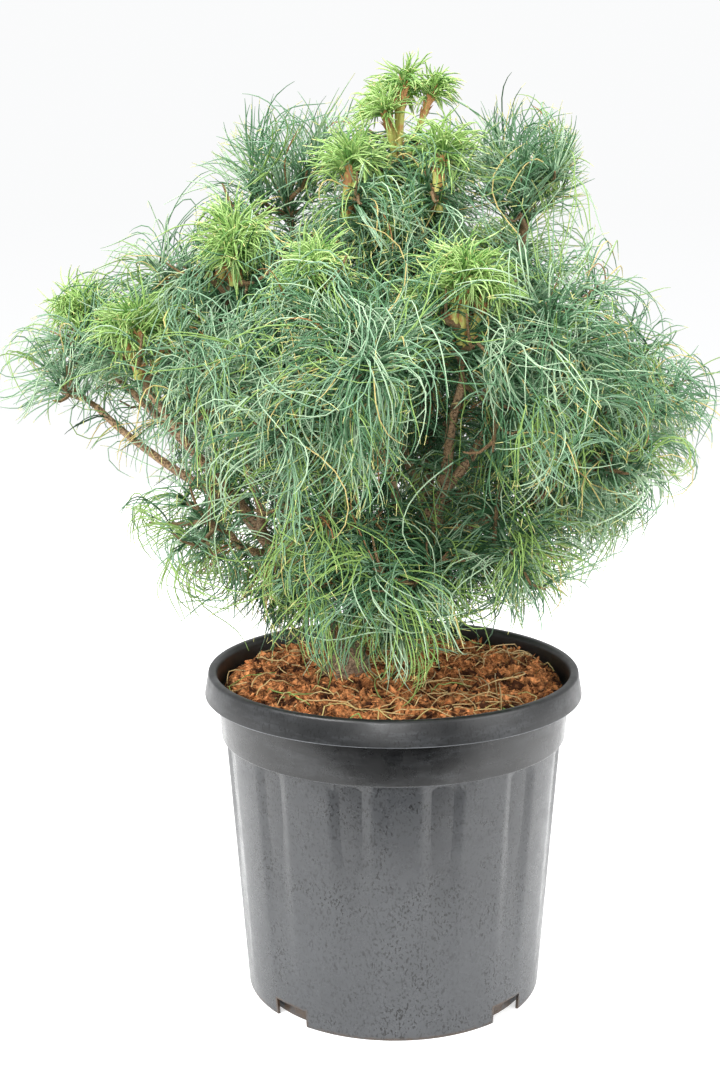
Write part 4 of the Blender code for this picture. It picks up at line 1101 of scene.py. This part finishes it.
class PineGrowLimbs(bpy.types.Operator):
    """Grow the trunk, the leaders and the boughs with bark in relief"""
    bl_idname = "pine.grow_limbs"
    bl_label = "Grow limbs"

    def execute(self, context):
        settings = context.scene.pine_limbs
        bark = bark_material("bark", (0.190, 0.125, 0.075), (0.600, 0.380, 0.210), (0.400, 0.280, 0.180), 130.0)
        groups = {
            "trunk_bark": (["trunk"], 0.0, 1.6, 60.0),
            "leader_bark": (list(LEADERS), 0.4, 0.8, 110.0),
            "bough_bark": (list(BOUGHS), 0.75, 0.5, 170.0),
        }
        for piece, (names, youth, relief, scale) in groups.items():
            chains = []
            for name in names:
                points, radii = LIMBS[name]
                walked = np.linspace(0.0, 1.0, len(points))
                collar = 1 + 0.22 * np.exp(-walked / 0.05) * (name != "trunk")
                chains.append((points, radii * collar, youth + 0.25 * walked))
            obj = link_object(piece, joined_lines(piece, chains))
            run_tree(obj, sweep_tree(), {
                "Sides": settings.sides, "Spacing": settings.spacing, "Relief": settings.relief * relief * 2,
                "Relief Scale": scale, "Surface": bark})
            dress(obj, "bark", *names)
        return {"FINISHED"}


class PineGrowTwigs(bpy.types.Operator):
    """Grow the stems, side twigs and fine twigs inside the masses"""
    bl_idname = "pine.grow_twigs"
    bl_label = "Grow twigs"

    def execute(self, context):
        chains = []
        for stem, twigs, fine, candles in GROWTH.values():
            stout = STOUT_UNDER_CANDLES if candles else 1.0
            chains.append((stem, np.linspace(STEM_RADIUS, TWIG_RADIUS, len(stem)) * stout, 0.6))
            reach = BARE_UNDER_CANDLES if candles else 1.0
            for twig in twigs:
                twig = np.array([along(twig, reach * share) for share in (0.0, 0.4, 0.8, 1.0)])
                chains.append((twig, np.array([1.15, 1.0, 0.8, 0.35]) * TWIG_RADIUS * stout, 0.8))
            for twig in fine:
                chains.append((twig, np.linspace(0.85, 0.4, len(twig)) * TWIG_RADIUS, 1.0))
        twigs = link_object("twigs", joined_lines("twigs", chains))
        bark = bark_material("twig_bark", (0.190, 0.110, 0.060), (0.340, 0.200, 0.095), (0.22, 0.20, 0.09), 300.0)
        run_tree(twigs, sweep_tree(), {"Sides": 6, "Spacing": 6 * MM, "Relief": 0.8 * MM,
                                       "Relief Scale": 260.0, "Surface": bark})
        dress(twigs, "bark")
        return {"FINISHED"}


# Pot

def wall_radius(height):
    """Outer radius of the tapered wall below the band."""
    return FOOT_RADIUS + (BODY_TOP_RADIUS - FOOT_RADIUS) * height / BAND_BOTTOM


def softened(points, steps=4):
    """A profile whose corners with a rounding are turned into small rounds; a point is (r, z, rounding)."""
    out = []
    for i, (r, z, rounding) in enumerate(points):
        if not rounding:
            out.append((r, z))
            continue
        here = Vector((r, z))
        before, after = Vector(points[i - 1][:2]) - here, Vector(points[(i + 1) % len(points)][:2]) - here
        cut = min(rounding, before.length * 0.45, after.length * 0.45)
        first, last = here + before.normalized() * cut, here + after.normalized() * cut
        for k in range(steps + 1):
            t = k / steps
            out.append(tuple((1 - t) ** 2 * first + 2 * t * (1 - t) * here + t * t * last))
    return out


def pot_profile():
    """The pot's closed section, with finer stations up the outside for its flutes."""
    well = UNDERSIDE_RADIUS - WALL
    shelf = CHANNEL_HEIGHT + WALL
    inside = [
        (0.0, WALL, 0.0), (well, WALL, 0.0), (well, shelf, 0.0), (wall_radius(shelf) - WALL, shelf, 0.0),
        (BODY_TOP_RADIUS - WALL, BAND_BOTTOM, 0.0), (BAND_LOW_RADIUS - WALL, BAND_BOTTOM + WALL, 0.0),
        (RIM_INNER_RADIUS - WALL, SKIRT_BOTTOM, 0.0),
    ]
    rim = [
        (RIM_INNER_RADIUS - 0.3 * MM, POT_HEIGHT - 3.5 * MM, ROUNDING),
        (RIM_INNER_RADIUS + 1.6 * MM, POT_HEIGHT, 3 * MM),
        (RIM_OUTER_RADIUS, POT_HEIGHT, 3.4 * MM),
        (SKIRT_RADIUS, SKIRT_BOTTOM, ROUNDING),
        (SKIRT_RADIUS - WALL, SKIRT_BOTTOM, ROUNDING),
        (RIM_OUTER_RADIUS - WALL, POT_HEIGHT - 2 * WALL, 0.0),
        (BAND_HIGH_RADIUS, POT_HEIGHT - 2 * WALL, 0.0),
        (BAND_HIGH_RADIUS, SKIRT_BOTTOM, 0.0),
        (BAND_LOW_RADIUS, BAND_BOTTOM, ROUNDING),
        (BODY_TOP_RADIUS, BAND_BOTTOM, ROUNDING),
    ]
    heights = np.linspace(BAND_BOTTOM - 1.5 * MM, 1.5 * MM, 40)
    body = [(wall_radius(z), z, 0.0) for z in heights]
    foot = [
        (FOOT_RADIUS, 0.0, ROUNDING), (FOOT_RADIUS - WALL, 0.0, 0.0),
        (wall_radius(CHANNEL_HEIGHT) - WALL, CHANNEL_HEIGHT, 0.0), (RECESS_RADIUS, CHANNEL_HEIGHT, 0.0),
        (RECESS_RADIUS, 0.8 * MM, 0.0), (UNDERSIDE_RADIUS, 0.8 * MM, 0.0), (UNDERSIDE_RADIUS, 0.0, 0.0),
        (0.0, 0.0, 0.0),
    ]
    return softened(inside + rim + body + foot)


def flute(angle, radius, height, settings):
    """How far the body's wall sinks in at an angle and a height: soft grooves between wide panels."""
    if radius < wall_radius(height) - 0.5 * WALL or not 0.0 < height < BAND_BOTTOM - MM:
        return 0.0
    wave = math.cos(settings.flutes * (angle - FLUTE_TURN))
    groove = max(0.0, (wave - FLUTE_EDGE) / (1 - FLUTE_EDGE))
    top = min(1.0, max(0.0, (BAND_BOTTOM - height) / (3 * MM)))
    low = min(1.0, max(0.0, (height - 1.5 * CM) / (16 * CM)))
    return settings.flute_depth * groove * groove * (3 - 2 * groove) * math.sin(top * math.pi / 2) * low


def tinted(colour, share):
    """A colour made darker or lighter by a share."""
    return tuple(share * channel for channel in colour)


def plastic_material(colour, flutes):
    """Weathered dark plastic: specks, scuffs, a black rim, soil along the foot, and painted shade in the grooves, on
    the upper body and on the band, with painted highlight lines at the band's and the skirt's lower edges.
    """
    material, tree, shader = new_material("pot_plastic", colour, 0.32)
    place = place_of(tree)
    parts = node(tree, "ShaderNodeSeparateXYZ", {"Vector": place}).outputs
    height = parts["Z"]
    angle = calculated(tree, "ARCTAN2", parts["X"], calculated(tree, "MULTIPLY", parts["Y"], -1.0))
    turned = calculated(tree, "MULTIPLY", calculated(tree, "SUBTRACT", angle, FLUTE_TURN), float(flutes))
    wave = calculated(tree, "COSINE", turned, 0.0)
    uneven = between(tree, grain(tree, place_of(tree, (1.0, 1.0, 0.25)), 20.0, 3.0), 0.35, 0.65, 0.35, 1.0)
    # Painted shade in the flutes' grooves, growing towards the band, in patches
    high = between(tree, height, 5 * CM, BAND_BOTTOM, 0.0, 1.0)
    under_band = between(tree, height, BAND_BOTTOM - 2 * MM, BAND_BOTTOM - 8 * MM)
    strength = calculated(tree, "MULTIPLY", calculated(tree, "MULTIPLY", high, under_band), uneven)
    groove_shade = calculated(tree, "MULTIPLY", between(tree, wave, FLUTE_EDGE, 1.0), strength)
    fine = between(tree, grain(tree, place, 420.0, 3.0, 0.7), 0.3, 0.7)
    base = blended(tree, fine, tinted(colour, 0.88), tinted(colour, 1.12))
    clouds = between(tree, grain(tree, place, 14.0, 3.0), 0.35, 0.7, 0.0, 0.5)
    cloudy = blended(tree, clouds, base, tinted(colour, 1.35))
    # Painted shade: the body darker towards its top
    top_shade = between(tree, height, 8 * CM, 21 * CM, 0.0, 0.45)
    painted_top_shade = blended(tree, top_shade, cloudy, tinted(colour, 0.5))
    fluted = blended(tree, calculated(tree, "MULTIPLY", groove_shade, 0.5), painted_top_shade, tinted(colour, 0.4))
    scuff = between(tree, grain(tree, place_of(tree, (0.12, 0.12, 5.0)), 60.0, 3.0), 0.60, 0.72)
    belt = between(tree, calculated(tree, "ABSOLUTE", calculated(tree, "SUBTRACT", height, 11.3 * CM), 0.0),
                   1.2 * CM, 0.0)
    scuffed = blended(tree, calculated(tree, "MULTIPLY", scuff, belt), fluted, tinted(colour, 0.45))
    smudge = between(tree, grain(tree, place_of(tree, (0.5, 0.5, 2.6)), 34.0, 6.0, 0.75), 0.48, 0.72)
    # Painted shade on the band under the skirt's overhang, mottled by smudges
    band = between(tree, height, BAND_BOTTOM - 0.5 * MM, BAND_BOTTOM + 0.5 * MM)
    painted_band_shade = blended(tree, band, scuffed, blended(tree, smudge, tinted(colour, 0.10), tinted(colour, 0.60)))
    black = blended(tree, smudge, tinted(colour, 0.25), tinted(colour, 1.0))
    skirt = between(tree, height, SKIRT_BOTTOM - MM, SKIRT_BOTTOM + 0.5 * MM)
    rimmed = blended(tree, skirt, painted_band_shade, black)
    specks = between(tree, grain(tree, place_of(tree, (1.0, 1.0, 0.6)), 620.0, 2.0, 0.5), 0.56, 0.61)
    thick = between(tree, grain(tree, place, 26.0, 2.0), 0.35, 0.65, 0.35, 1.0)
    specked = blended(tree, calculated(tree, "MULTIPLY", specks, thick), rimmed, tinted(colour, 0.10))
    quarter = calculated(tree, "PINGPONG", calculated(tree, "SUBTRACT", angle, NOTCH_TURN + math.pi / NOTCH_COUNT),
                         math.pi / NOTCH_COUNT)
    notch = calculated(tree, "MULTIPLY", between(tree, quarter, 0.155, 0.140),
                       between(tree, height, NOTCH_HEIGHT + 2.2 * MM, NOTCH_HEIGHT + 0.6 * MM))
    foot = between(tree, height, 3.5 * MM, 0.5 * MM)
    soil = calculated(tree, "MULTIPLY", calculated(tree, "MAXIMUM", foot, notch),
                      between(tree, grain(tree, place, 90.0, 3.0), 0.32, 0.55))
    # Painted highlight lines along the lower edges of the band and the skirt
    painted_edge_highlights = specked
    for edge in (BAND_BOTTOM, SKIRT_BOTTOM + 0.2 * MM):
        apart = calculated(tree, "ABSOLUTE", calculated(tree, "SUBTRACT", height, edge), 0.0)
        line = calculated(tree, "MULTIPLY", between(tree, apart, 0.8 * MM, 0.3 * MM), uneven)
        painted_edge_highlights = blended(tree, line, painted_edge_highlights, tinted(colour, 3.6))
    soiled = blended(tree, soil, painted_edge_highlights, (0.055, 0.034, 0.020))
    tree.links.new(soiled, shader.inputs["Base Color"])
    rough = between(tree, grain(tree, place, 60.0, 4.0), 0.3, 0.7, 0.20, 0.34)
    duller = calculated(tree, "ADD", rough, calculated(tree, "MULTIPLY", skirt, 0.10))
    tree.links.new(duller, shader.inputs["Roughness"])
    shader.inputs["Specular IOR Level"].default_value = 0.55
    raised(tree, shader, grain(tree, place_of(tree, (1.0, 1.0, 0.4)), 240.0, 4.0), 0.25 * MM, 0.30)
    return material


class PineBuildPot(bpy.types.Operator):
    """Turn the fluted pot and cut the notches in its foot"""
    bl_idname = "pine.build_pot"
    bl_label = "Build pot"

    def execute(self, context):
        settings = context.scene.pine_pot
        profile = pot_profile()
        bm = bmesh.new()
        rings = []
        for radius, height in profile:
            if radius == 0.0:
                rings.append([bm.verts.new((0.0, 0.0, height))])
                continue
            ring = []
            for k in range(POT_STEPS):
                angle = 2 * math.pi * k / POT_STEPS
                reach = radius - flute(angle, radius, height, settings)
                ring.append(bm.verts.new((reach * math.sin(angle), -reach * math.cos(angle), height)))
            rings.append(ring)
        for low, high in zip(rings[:-1], rings[1:]):
            for k in range(POT_STEPS):
                after = (k + 1) % POT_STEPS
                if len(low) == 1:
                    bm.faces.new((low[0], high[k], high[after]))
                elif len(high) == 1:
                    bm.faces.new((low[k], low[after], high[0]))
                else:
                    bm.faces.new((low[k], low[after], high[after], high[k]))
        pot = link_object("fluted_pot", mesh_from_bmesh("fluted_pot", bm))
        cutters = []
        for k in range(NOTCH_COUNT):
            turn = NOTCH_TURN + math.pi / NOTCH_COUNT + k * 2 * math.pi / NOTCH_COUNT
            bpy.ops.mesh.primitive_cube_add(size=1.0)
            notch = context.object
            notch.dimensions = (NOTCH_WIDTH, 1.2 * CM, 2 * NOTCH_HEIGHT)
            notch.location = (FOOT_RADIUS * math.sin(turn), -FOOT_RADIUS * math.cos(turn), 0.0)
            notch.rotation_euler.z = turn
            cut = pot.modifiers.new(f"notch_{k}", "BOOLEAN")
            cut.operation = "DIFFERENCE"
            cut.object = notch
            cutters.append(notch)
        made_plain(pot)
        for notch in cutters:
            bpy.data.objects.remove(notch, do_unlink=True)
        pot.data.materials.clear()
        pot.data.materials.append(plastic_material(tuple(settings.colour), settings.flutes))
        pot.data.set_sharp_from_angle(angle=math.radians(32))
        for face in pot.data.polygons:
            face.use_smooth = True
        dress(pot, "pot_plastic", "pot")
        return {"FINISHED"}


# Coir

def coir_height(x, y):
    """Height of the coir at a point, lumpy and a little lower at the wall."""
    across = math.hypot(x, y)
    edge = min(1.0, max(0.0, (across - 12.2 * CM) / (2.0 * CM)))
    level = SUBSTRATE_TOP + (SUBSTRATE_EDGE - SUBSTRATE_TOP) * edge
    lumps = noise.fractal(Vector((x * 90, y * 90, 2.0)), 0.8, 2.1, 4)
    swell = noise.noise(Vector((x * 14, y * 14, 7.0)))
    return level + 3.4 * MM * lumps + 2.2 * MM * swell


def coir_material(name, colour, bright):
    """Red-brown coir with pale and dark grains, and dark spots painted as shade in pits."""
    material, tree, shader = new_material(name, colour, 0.95)
    place = place_of(tree)
    mixed = blended(tree, between(tree, grain(tree, place, 170.0, 5.0, 0.75), 0.36, 0.64),
                    tinted(colour, 0.16), tinted(colour, bright))
    # Dark spots: painted shade in pits
    pit_shade = between(tree, grain(tree, place, 60.0, 3.0), 0.49, 0.60)
    tree.links.new(blended(tree, pit_shade, mixed, (0.060, 0.022, 0.010)), shader.inputs["Base Color"])
    shader.inputs["Specular IOR Level"].default_value = 0.2
    raised(tree, shader, grain(tree, place, 500.0, 6.0, 0.8), 1.2 * MM, 0.9)
    return material


def litter_tree():
    """Tree that scatters small shapes over the top of a surface, turned and sized at random, and
    smaller towards the wall, so that none pokes through it."""
    tree, start, end = geometry_tree("litter", [
        ("Shapes", "NodeSocketCollection", None), ("Density", "NodeSocketFloat", 1000.0),
        ("Seed", "NodeSocketInt", 1), ("Smallest", "NodeSocketFloat", 0.5), ("Largest", "NodeSocketFloat", 1.3),
        ("Tilt", "NodeSocketFloat", 0.5), ("Wall", "NodeSocketFloat", LITTER_WALL),
        ("Longest", "NodeSocketFloat", LITTER_LONGEST), ("Surface", "NodeSocketMaterial", None)])
    normal = node(tree, "GeometryNodeInputNormal")
    upward = node(tree, "ShaderNodeSeparateXYZ", {0: normal.outputs[0]})
    top = node(tree, "FunctionNodeCompare", {0: upward.outputs["Z"], 1: 0.4}, data_type="FLOAT",
               operation="GREATER_THAN")
    points = node(tree, "GeometryNodeDistributePointsOnFaces", {
        "Mesh": start["Geometry"], "Selection": top.outputs[0], "Density": start["Density"],
        "Seed": start["Seed"]})
    shapes = node(tree, "GeometryNodeCollectionInfo", {
        "Collection": start["Shapes"], "Separate Children": True, "Reset Children": True})
    negative = node(tree, "ShaderNodeMath", {0: start["Tilt"], 1: -1.0}, operation="MULTIPLY")
    low = node(tree, "ShaderNodeCombineXYZ", {0: negative.outputs[0], 1: negative.outputs[0], 2: 0.0})
    high = node(tree, "ShaderNodeCombineXYZ", {0: start["Tilt"], 1: start["Tilt"], 2: 2 * math.pi})
    turn = node(tree, "FunctionNodeRandomValue", {0: low.outputs[0], 1: high.outputs[0], 8: start["Seed"]},
                data_type="FLOAT_VECTOR")
    size = node(tree, "FunctionNodeRandomValue", {2: start["Smallest"], 3: start["Largest"], 8: start["Seed"]},
                data_type="FLOAT")
    place = node(tree, "GeometryNodeInputPosition").outputs[0]
    flat = node(tree, "ShaderNodeVectorMath", {0: place, 1: (1.0, 1.0, 0.0)}, operation="MULTIPLY")
    across = node(tree, "ShaderNodeVectorMath", {0: flat.outputs[0]}, operation="LENGTH").outputs["Value"]
    left = calculated(tree, "SUBTRACT", start["Wall"], across)
    room = node(tree, "ShaderNodeMath", {0: left, 1: start["Longest"]}, operation="DIVIDE", use_clamp=True)
    fitted = calculated(tree, "MULTIPLY", size.outputs[1], room.outputs[0])
    spread = node(tree, "GeometryNodeInstanceOnPoints", {
        "Points": points.outputs["Points"], "Instance": shapes.outputs[0], "Pick Instance": True,
        "Rotation": turn.outputs[0], "Scale": fitted})
    real = node(tree, "GeometryNodeRealizeInstances", {"Geometry": spread.outputs[0]})
    last = node(tree, "GeometryNodeSetMaterial", {"Geometry": real.outputs[0], "Material": start["Surface"]})
    tree.links.new(last.outputs[0], end.inputs["Geometry"])
    return tree


def fibre_shape(name, length, radius, bend, rng):
    """A curved three-sided fibre that lies along X."""
    bm = bmesh.new()
    rings = []
    steps = 4
    for i in range(steps + 1):
        t = i / steps - 0.5
        centre = Vector((t * length, bend * length * math.cos(math.pi * t) * rng.uniform(0.7, 1.3),
                         0.18 * length * math.cos(math.pi * t)))
        width = radius * (1.0 - 1.3 * abs(t))
        rings.append([bm.verts.new(centre + Vector((0.0, math.cos(a), math.sin(a))) * width)
                      for a in (0.0, 2.1, 4.2)])
    for low, high in zip(rings[:-1], rings[1:]):
        for k in range(3):
            bm.faces.new((low[k], low[(k + 1) % 3], high[(k + 1) % 3], high[k]))
    bm.faces.new(rings[0])
    bm.faces.new(rings[-1])
    return mesh_from_bmesh(name, bm)


def chip_shape(name, size, rng, stretch=1.5):
    """A torn flat chip, longer along X."""
    bm = bmesh.new()
    corners = 6
    rings = []
    for level in (-0.5, 0.5):
        ring = []
        for k in range(corners):
            angle = 2 * math.pi * k / corners
            reach = size * rng.uniform(0.55, 1.15)
            ring.append(bm.verts.new((reach * math.cos(angle) * stretch, reach * math.sin(angle),
                                      size * (0.22 * level + rng.uniform(-0.12, 0.12)))))
        rings.append(ring)
    for k in range(corners):
        after = (k + 1) % corners
        bm.faces.new((rings[0][k], rings[0][after], rings[1][after], rings[1][k]))
    bm.faces.new(rings[0])
    bm.faces.new(rings[1])
    return mesh_from_bmesh(name, bm)


def shape_collection(name, meshes):
    """A collection of small shapes for the scatter, kept out of the scene."""
    collection = bpy.data.collections.new(name)
    for mesh in meshes:
        collection.objects.link(bpy.data.objects.new(mesh.name, mesh))
    return collection


def drop_collection(collection):
    """Remove a collection and the shapes in it."""
    for obj in list(collection.objects):
        bpy.data.objects.remove(obj, do_unlink=True)
    bpy.data.collections.remove(collection)


def coir_bed_mesh():
    """The closed bed of coir: a lumpy top over the pot's inside."""
    turns, bands = 120, 44
    wall = BAND_LOW_RADIUS - WALL - GAP
    floor_radius = UNDERSIDE_RADIUS - WALL - GAP
    bm = bmesh.new()
    top = bm.verts.new((0.0, 0.0, coir_height(0.0, 0.0)))
    rings = []
    for band in range(1, bands + 1):
        radius = wall * band / bands
        ring = []
        for k in range(turns):
            angle = 2 * math.pi * k / turns
            x, y = radius * math.sin(angle), -radius * math.cos(angle)
            ring.append(bm.verts.new((x, y, coir_height(x, y))))
        rings.append(ring)
    for radius, height in ((BODY_TOP_RADIUS - WALL - GAP, BAND_BOTTOM), (floor_radius + 4 * CM, 3 * CM),
                           (floor_radius, WALL + GAP)):
        rings.append([bm.verts.new((radius * math.sin(2 * math.pi * k / turns),
                                    -radius * math.cos(2 * math.pi * k / turns), height)) for k in range(turns)])
    for k in range(turns):
        bm.faces.new((top, rings[0][k], rings[0][(k + 1) % turns]))
    for inner, outer in zip(rings[:-1], rings[1:]):
        for k in range(turns):
            after = (k + 1) % turns
            bm.faces.new((inner[k], outer[k], outer[after], inner[after]))
    bm.faces.new(rings[-1])
    return mesh_from_bmesh("coir_bed", bm)


class PineFillPot(bpy.types.Operator):
    """Fill the pot with coir, its fibres and chips, and strew fallen needles on it"""
    bl_idname = "pine.fill_pot"
    bl_label = "Fill pot"

    def execute(self, context):
        settings = context.scene.pine_coir
        colour = tuple(settings.colour)
        rng = random.Random(SEED + 700)
        bed = link_object("coir_bed", coir_bed_mesh())
        # The bed is darker than the chips, as painted shade in the hollows between them
        bed.data.materials.append(coir_material("coir_bed", tinted(colour, 0.62), 1.4))
        fibres = shape_collection("fibre_shapes", [
            fibre_shape(f"fibre_{k}", rng.uniform(9, 20) * MM, rng.uniform(0.30, 0.60) * MM,
                        rng.uniform(-0.3, 0.3), rng) for k in range(6)])
        chips = shape_collection("chip_shapes", [
            chip_shape(f"chip_{k}", rng.uniform(1.2, 4.2) * MM, rng, rng.uniform(1.3, 2.4)) for k in range(11)])
        shreds = shape_collection("shred_shapes", [
            chip_shape(f"shred_{k}", rng.uniform(1.0, 2.2) * MM, rng, 4.0) for k in range(7)])
        tree = litter_tree()
        pale = tuple(settings.shreds)
        for piece, shapes, density, sizes, tilt, colour, bright in (
                ("coir_fibres", fibres, settings.fibres, (0.5, 1.3), 0.55, colour, 1.8),
                ("coir_chips", chips, settings.chips, (0.5, 1.5), 1.1, colour, 1.8),
                ("coir_shreds", shreds, SHREDS_PER_CHIP * settings.chips, (0.5, 1.25), 0.45, pale, 1.3)):
            obj = link_object(piece, bed.data.copy())
            run_tree(obj, tree, {
                "Shapes": shapes, "Density": density, "Seed": 7, "Smallest": sizes[0], "Largest": sizes[1],
                "Tilt": tilt, "Surface": coir_material(piece, colour, bright)})
            dress(obj, "coir")
            drop_collection(shapes)
        dress(bed, "coir", "substrate")
        self.strew(settings.fallen, rng, context.scene.pine_needles)
        return {"FINISHED"}

    def strew(self, count, rng, settings):
        """Fallen needles that lie curled on the coir, straw and green."""
        steps = 8
        chains, shades = [], []
        for _ in range(count):
            reach, angle = 12.8 * CM * math.sqrt(rng.random()), rng.uniform(0.0, 2 * math.pi)
            point = np.array([reach * math.cos(angle), reach * math.sin(angle)])
            heading, curl = rng.uniform(0.0, 2 * math.pi), rng.gauss(0.0, 1.6)
            length = rng.uniform(3.5, 9.0) * CM
            arch = rng.uniform(1.0, 9.0) * MM
            chain = []
            for i in range(steps + 1):
                across = np.hypot(*point)
                if across > 13.9 * CM:
                    point = point * 13.9 * CM / across
                lift = arch * math.sin(math.pi * i / steps) + 2.2 * MM
                chain.append((*point, coir_height(*point) + lift))
                way = heading + curl * i / steps
                point = point + np.array([math.cos(way), math.sin(way)]) * length / steps
            chains.append(chain)
            shades.append(rng.choices((0.0, 1.0, 2.0), (9, 2, 1))[0])
        points = np.array(chains)
        taper = settings.radius * np.interp(np.linspace(0, 1, steps + 1), (0, 0.1, 0.8, 1), (0.5, 1.0, 0.9, 0.3))
        obj = link_object("fallen_needles", lines_mesh(
            "fallen_needles", points, radius=taper[None], shade=np.array(shades)[:, None],
            tip=np.zeros((1, 1))))
        materials = needle_materials()
        names = ["tan", "straw", "fresh"]
        run_tree(obj, needle_tree(names), {
            **{f"Shade {name}": materials[name] for name in names}, "Tip": materials["tip"],
            "Sides": 3, "Thickness": 1.0})
        dress(obj, "needles")


# Stage

class PineSetStage(bpy.types.Operator):
    """Lay the pale floor and set the camera and the soft lights"""
    bl_idname = "pine.set_stage"
    bl_label = "Set stage"

    def execute(self, context):
        settings = context.scene.pine_stage
        bpy.ops.mesh.primitive_plane_add(size=1.0)
        floor = context.object
        floor.name = "floor"
        for corner in floor.data.vertices:
            corner.co = (FLOOR_SIDE * corner.co.x * 2, FLOOR_FRONT if corner.co.y < 0 else FLOOR_BACK, 0.0)
        material, _, shader = new_material("floor_paint", tuple(settings.floor), 0.55)
        shader.inputs["Emission Color"].default_value = (1.0, 1.0, 1.0, 1.0)
        shader.inputs["Emission Strength"].default_value = 0.50
        floor.data.materials.append(material)
        lights = (
            ("key_light", (-1.9, -1.7, 2.3), 1.4, 98.0),
            ("fill_light", (2.2, -1.3, 1.1), 1.5, 37.0),
            ("top_light", (0.2, 0.3, 2.9), 1.5, 70.0),
            ("front_light", (-0.2, -2.5, 1.0), 1.0, 34.0),
        )
        for name, place, size, power in lights:
            data = bpy.data.lights.new(name, "AREA")
            data.size, data.energy = size, power
            light = bpy.data.objects.new(name, data)
            light.location = place
            aim = Vector((0.0, 0.0, 0.42)) - Vector(place)
            light.rotation_euler = aim.to_track_quat("-Z", "Y").to_euler()
            context.scene.collection.objects.link(light)
        world = bpy.data.worlds.new("soft_sky")
        world.use_nodes = True
        tree = world.node_tree
        way = node(tree, "ShaderNodeTexCoord").outputs["Generated"]
        parts = node(tree, "ShaderNodeSeparateXYZ", {0: way}).outputs
        ahead = between(tree, parts["Y"], -0.85, -0.45, 0.06, 0.75)
        above = between(tree, parts["Z"], 0.15, 0.8, 0.0, 0.6)
        strength = calculated(tree, "MAXIMUM", ahead, above)
        pale = between(tree, parts["Z"], -0.16, 0.0, 1.06, 1.0)
        seen = calculated(tree, "MULTIPLY", node(tree, "ShaderNodeLightPath").outputs["Is Camera Ray"], pale)
        background = tree.nodes["Background"]
        background.inputs["Color"].default_value = (0.96, 0.965, 0.97, 1.0)
        tree.links.new(calculated(tree, "MAXIMUM", strength, seen), background.inputs["Strength"])
        context.scene.world = world
        data = bpy.data.cameras.new("camera")
        data.sensor_width = 36.0
        data.lens = settings.lens
        camera = bpy.data.objects.new("camera", data)
        camera.location = (-0.02718, -1.3137, 0.64914)
        pitch, roll = math.radians(11.502), math.radians(0.276)
        camera.rotation_euler = (Matrix.Rotation(math.pi / 2 - pitch, 3, "X")
                                 @ Matrix.Rotation(-roll, 3, "Z")).to_euler()
        context.scene.collection.objects.link(camera)
        context.scene.camera = camera
        context.scene.view_settings.view_transform = "Standard"
        return {"FINISHED"}


class PinePanel(bpy.types.Panel):
    """Lists the steps that make the plant"""
    bl_idname = "VIEW3D_PT_white_pine"
    bl_label = "White Pine"
    bl_space_type = "VIEW_3D"
    bl_region_type = "UI"
    bl_category = "White Pine"

    def draw(self, context):
        for operator, settings in STEPS.items():
            box = self.layout.box()
            group = getattr(context.scene, settings)
            for key in type(group).__annotations__:
                box.prop(group, key)
            box.operator(operator.bl_idname)


STEPS = {
    PineBuildPot: "pine_pot",
    PineFillPot: "pine_coir",
    PineGrowLimbs: "pine_limbs",
    PineGrowTwigs: "pine_limbs",
    PineGrowNeedles: "pine_needles",
    PineGrowCandles: "pine_candles",
    PineSetStage: "pine_stage",
}
SETTINGS = {
    "pine_pot": PinePotSettings,
    "pine_coir": PineCoirSettings,
    "pine_limbs": PineLimbSettings,
    "pine_needles": PineNeedleSettings,
    "pine_candles": PineCandleSettings,
    "pine_stage": PineStageSettings,
}


def register():
    for cls in (*SETTINGS.values(), *STEPS, PinePanel):
        bpy.utils.register_class(cls)
    for key, cls in SETTINGS.items():
        setattr(bpy.types.Scene, key, PointerProperty(type=cls))


def unregister():
    for key in SETTINGS:
        delattr(bpy.types.Scene, key)
    for cls in (PinePanel, *STEPS, *SETTINGS.values()):
        bpy.utils.unregister_class(cls)


def main():
    register()
    bpy.ops.pine.set_stage()
    bpy.ops.pine.build_pot()
    bpy.ops.pine.fill_pot()
    bpy.ops.pine.grow_limbs()
    bpy.ops.pine.grow_twigs()
    bpy.ops.pine.grow_needles()
    bpy.ops.pine.grow_candles()


if __name__ == "__main__":
    main()
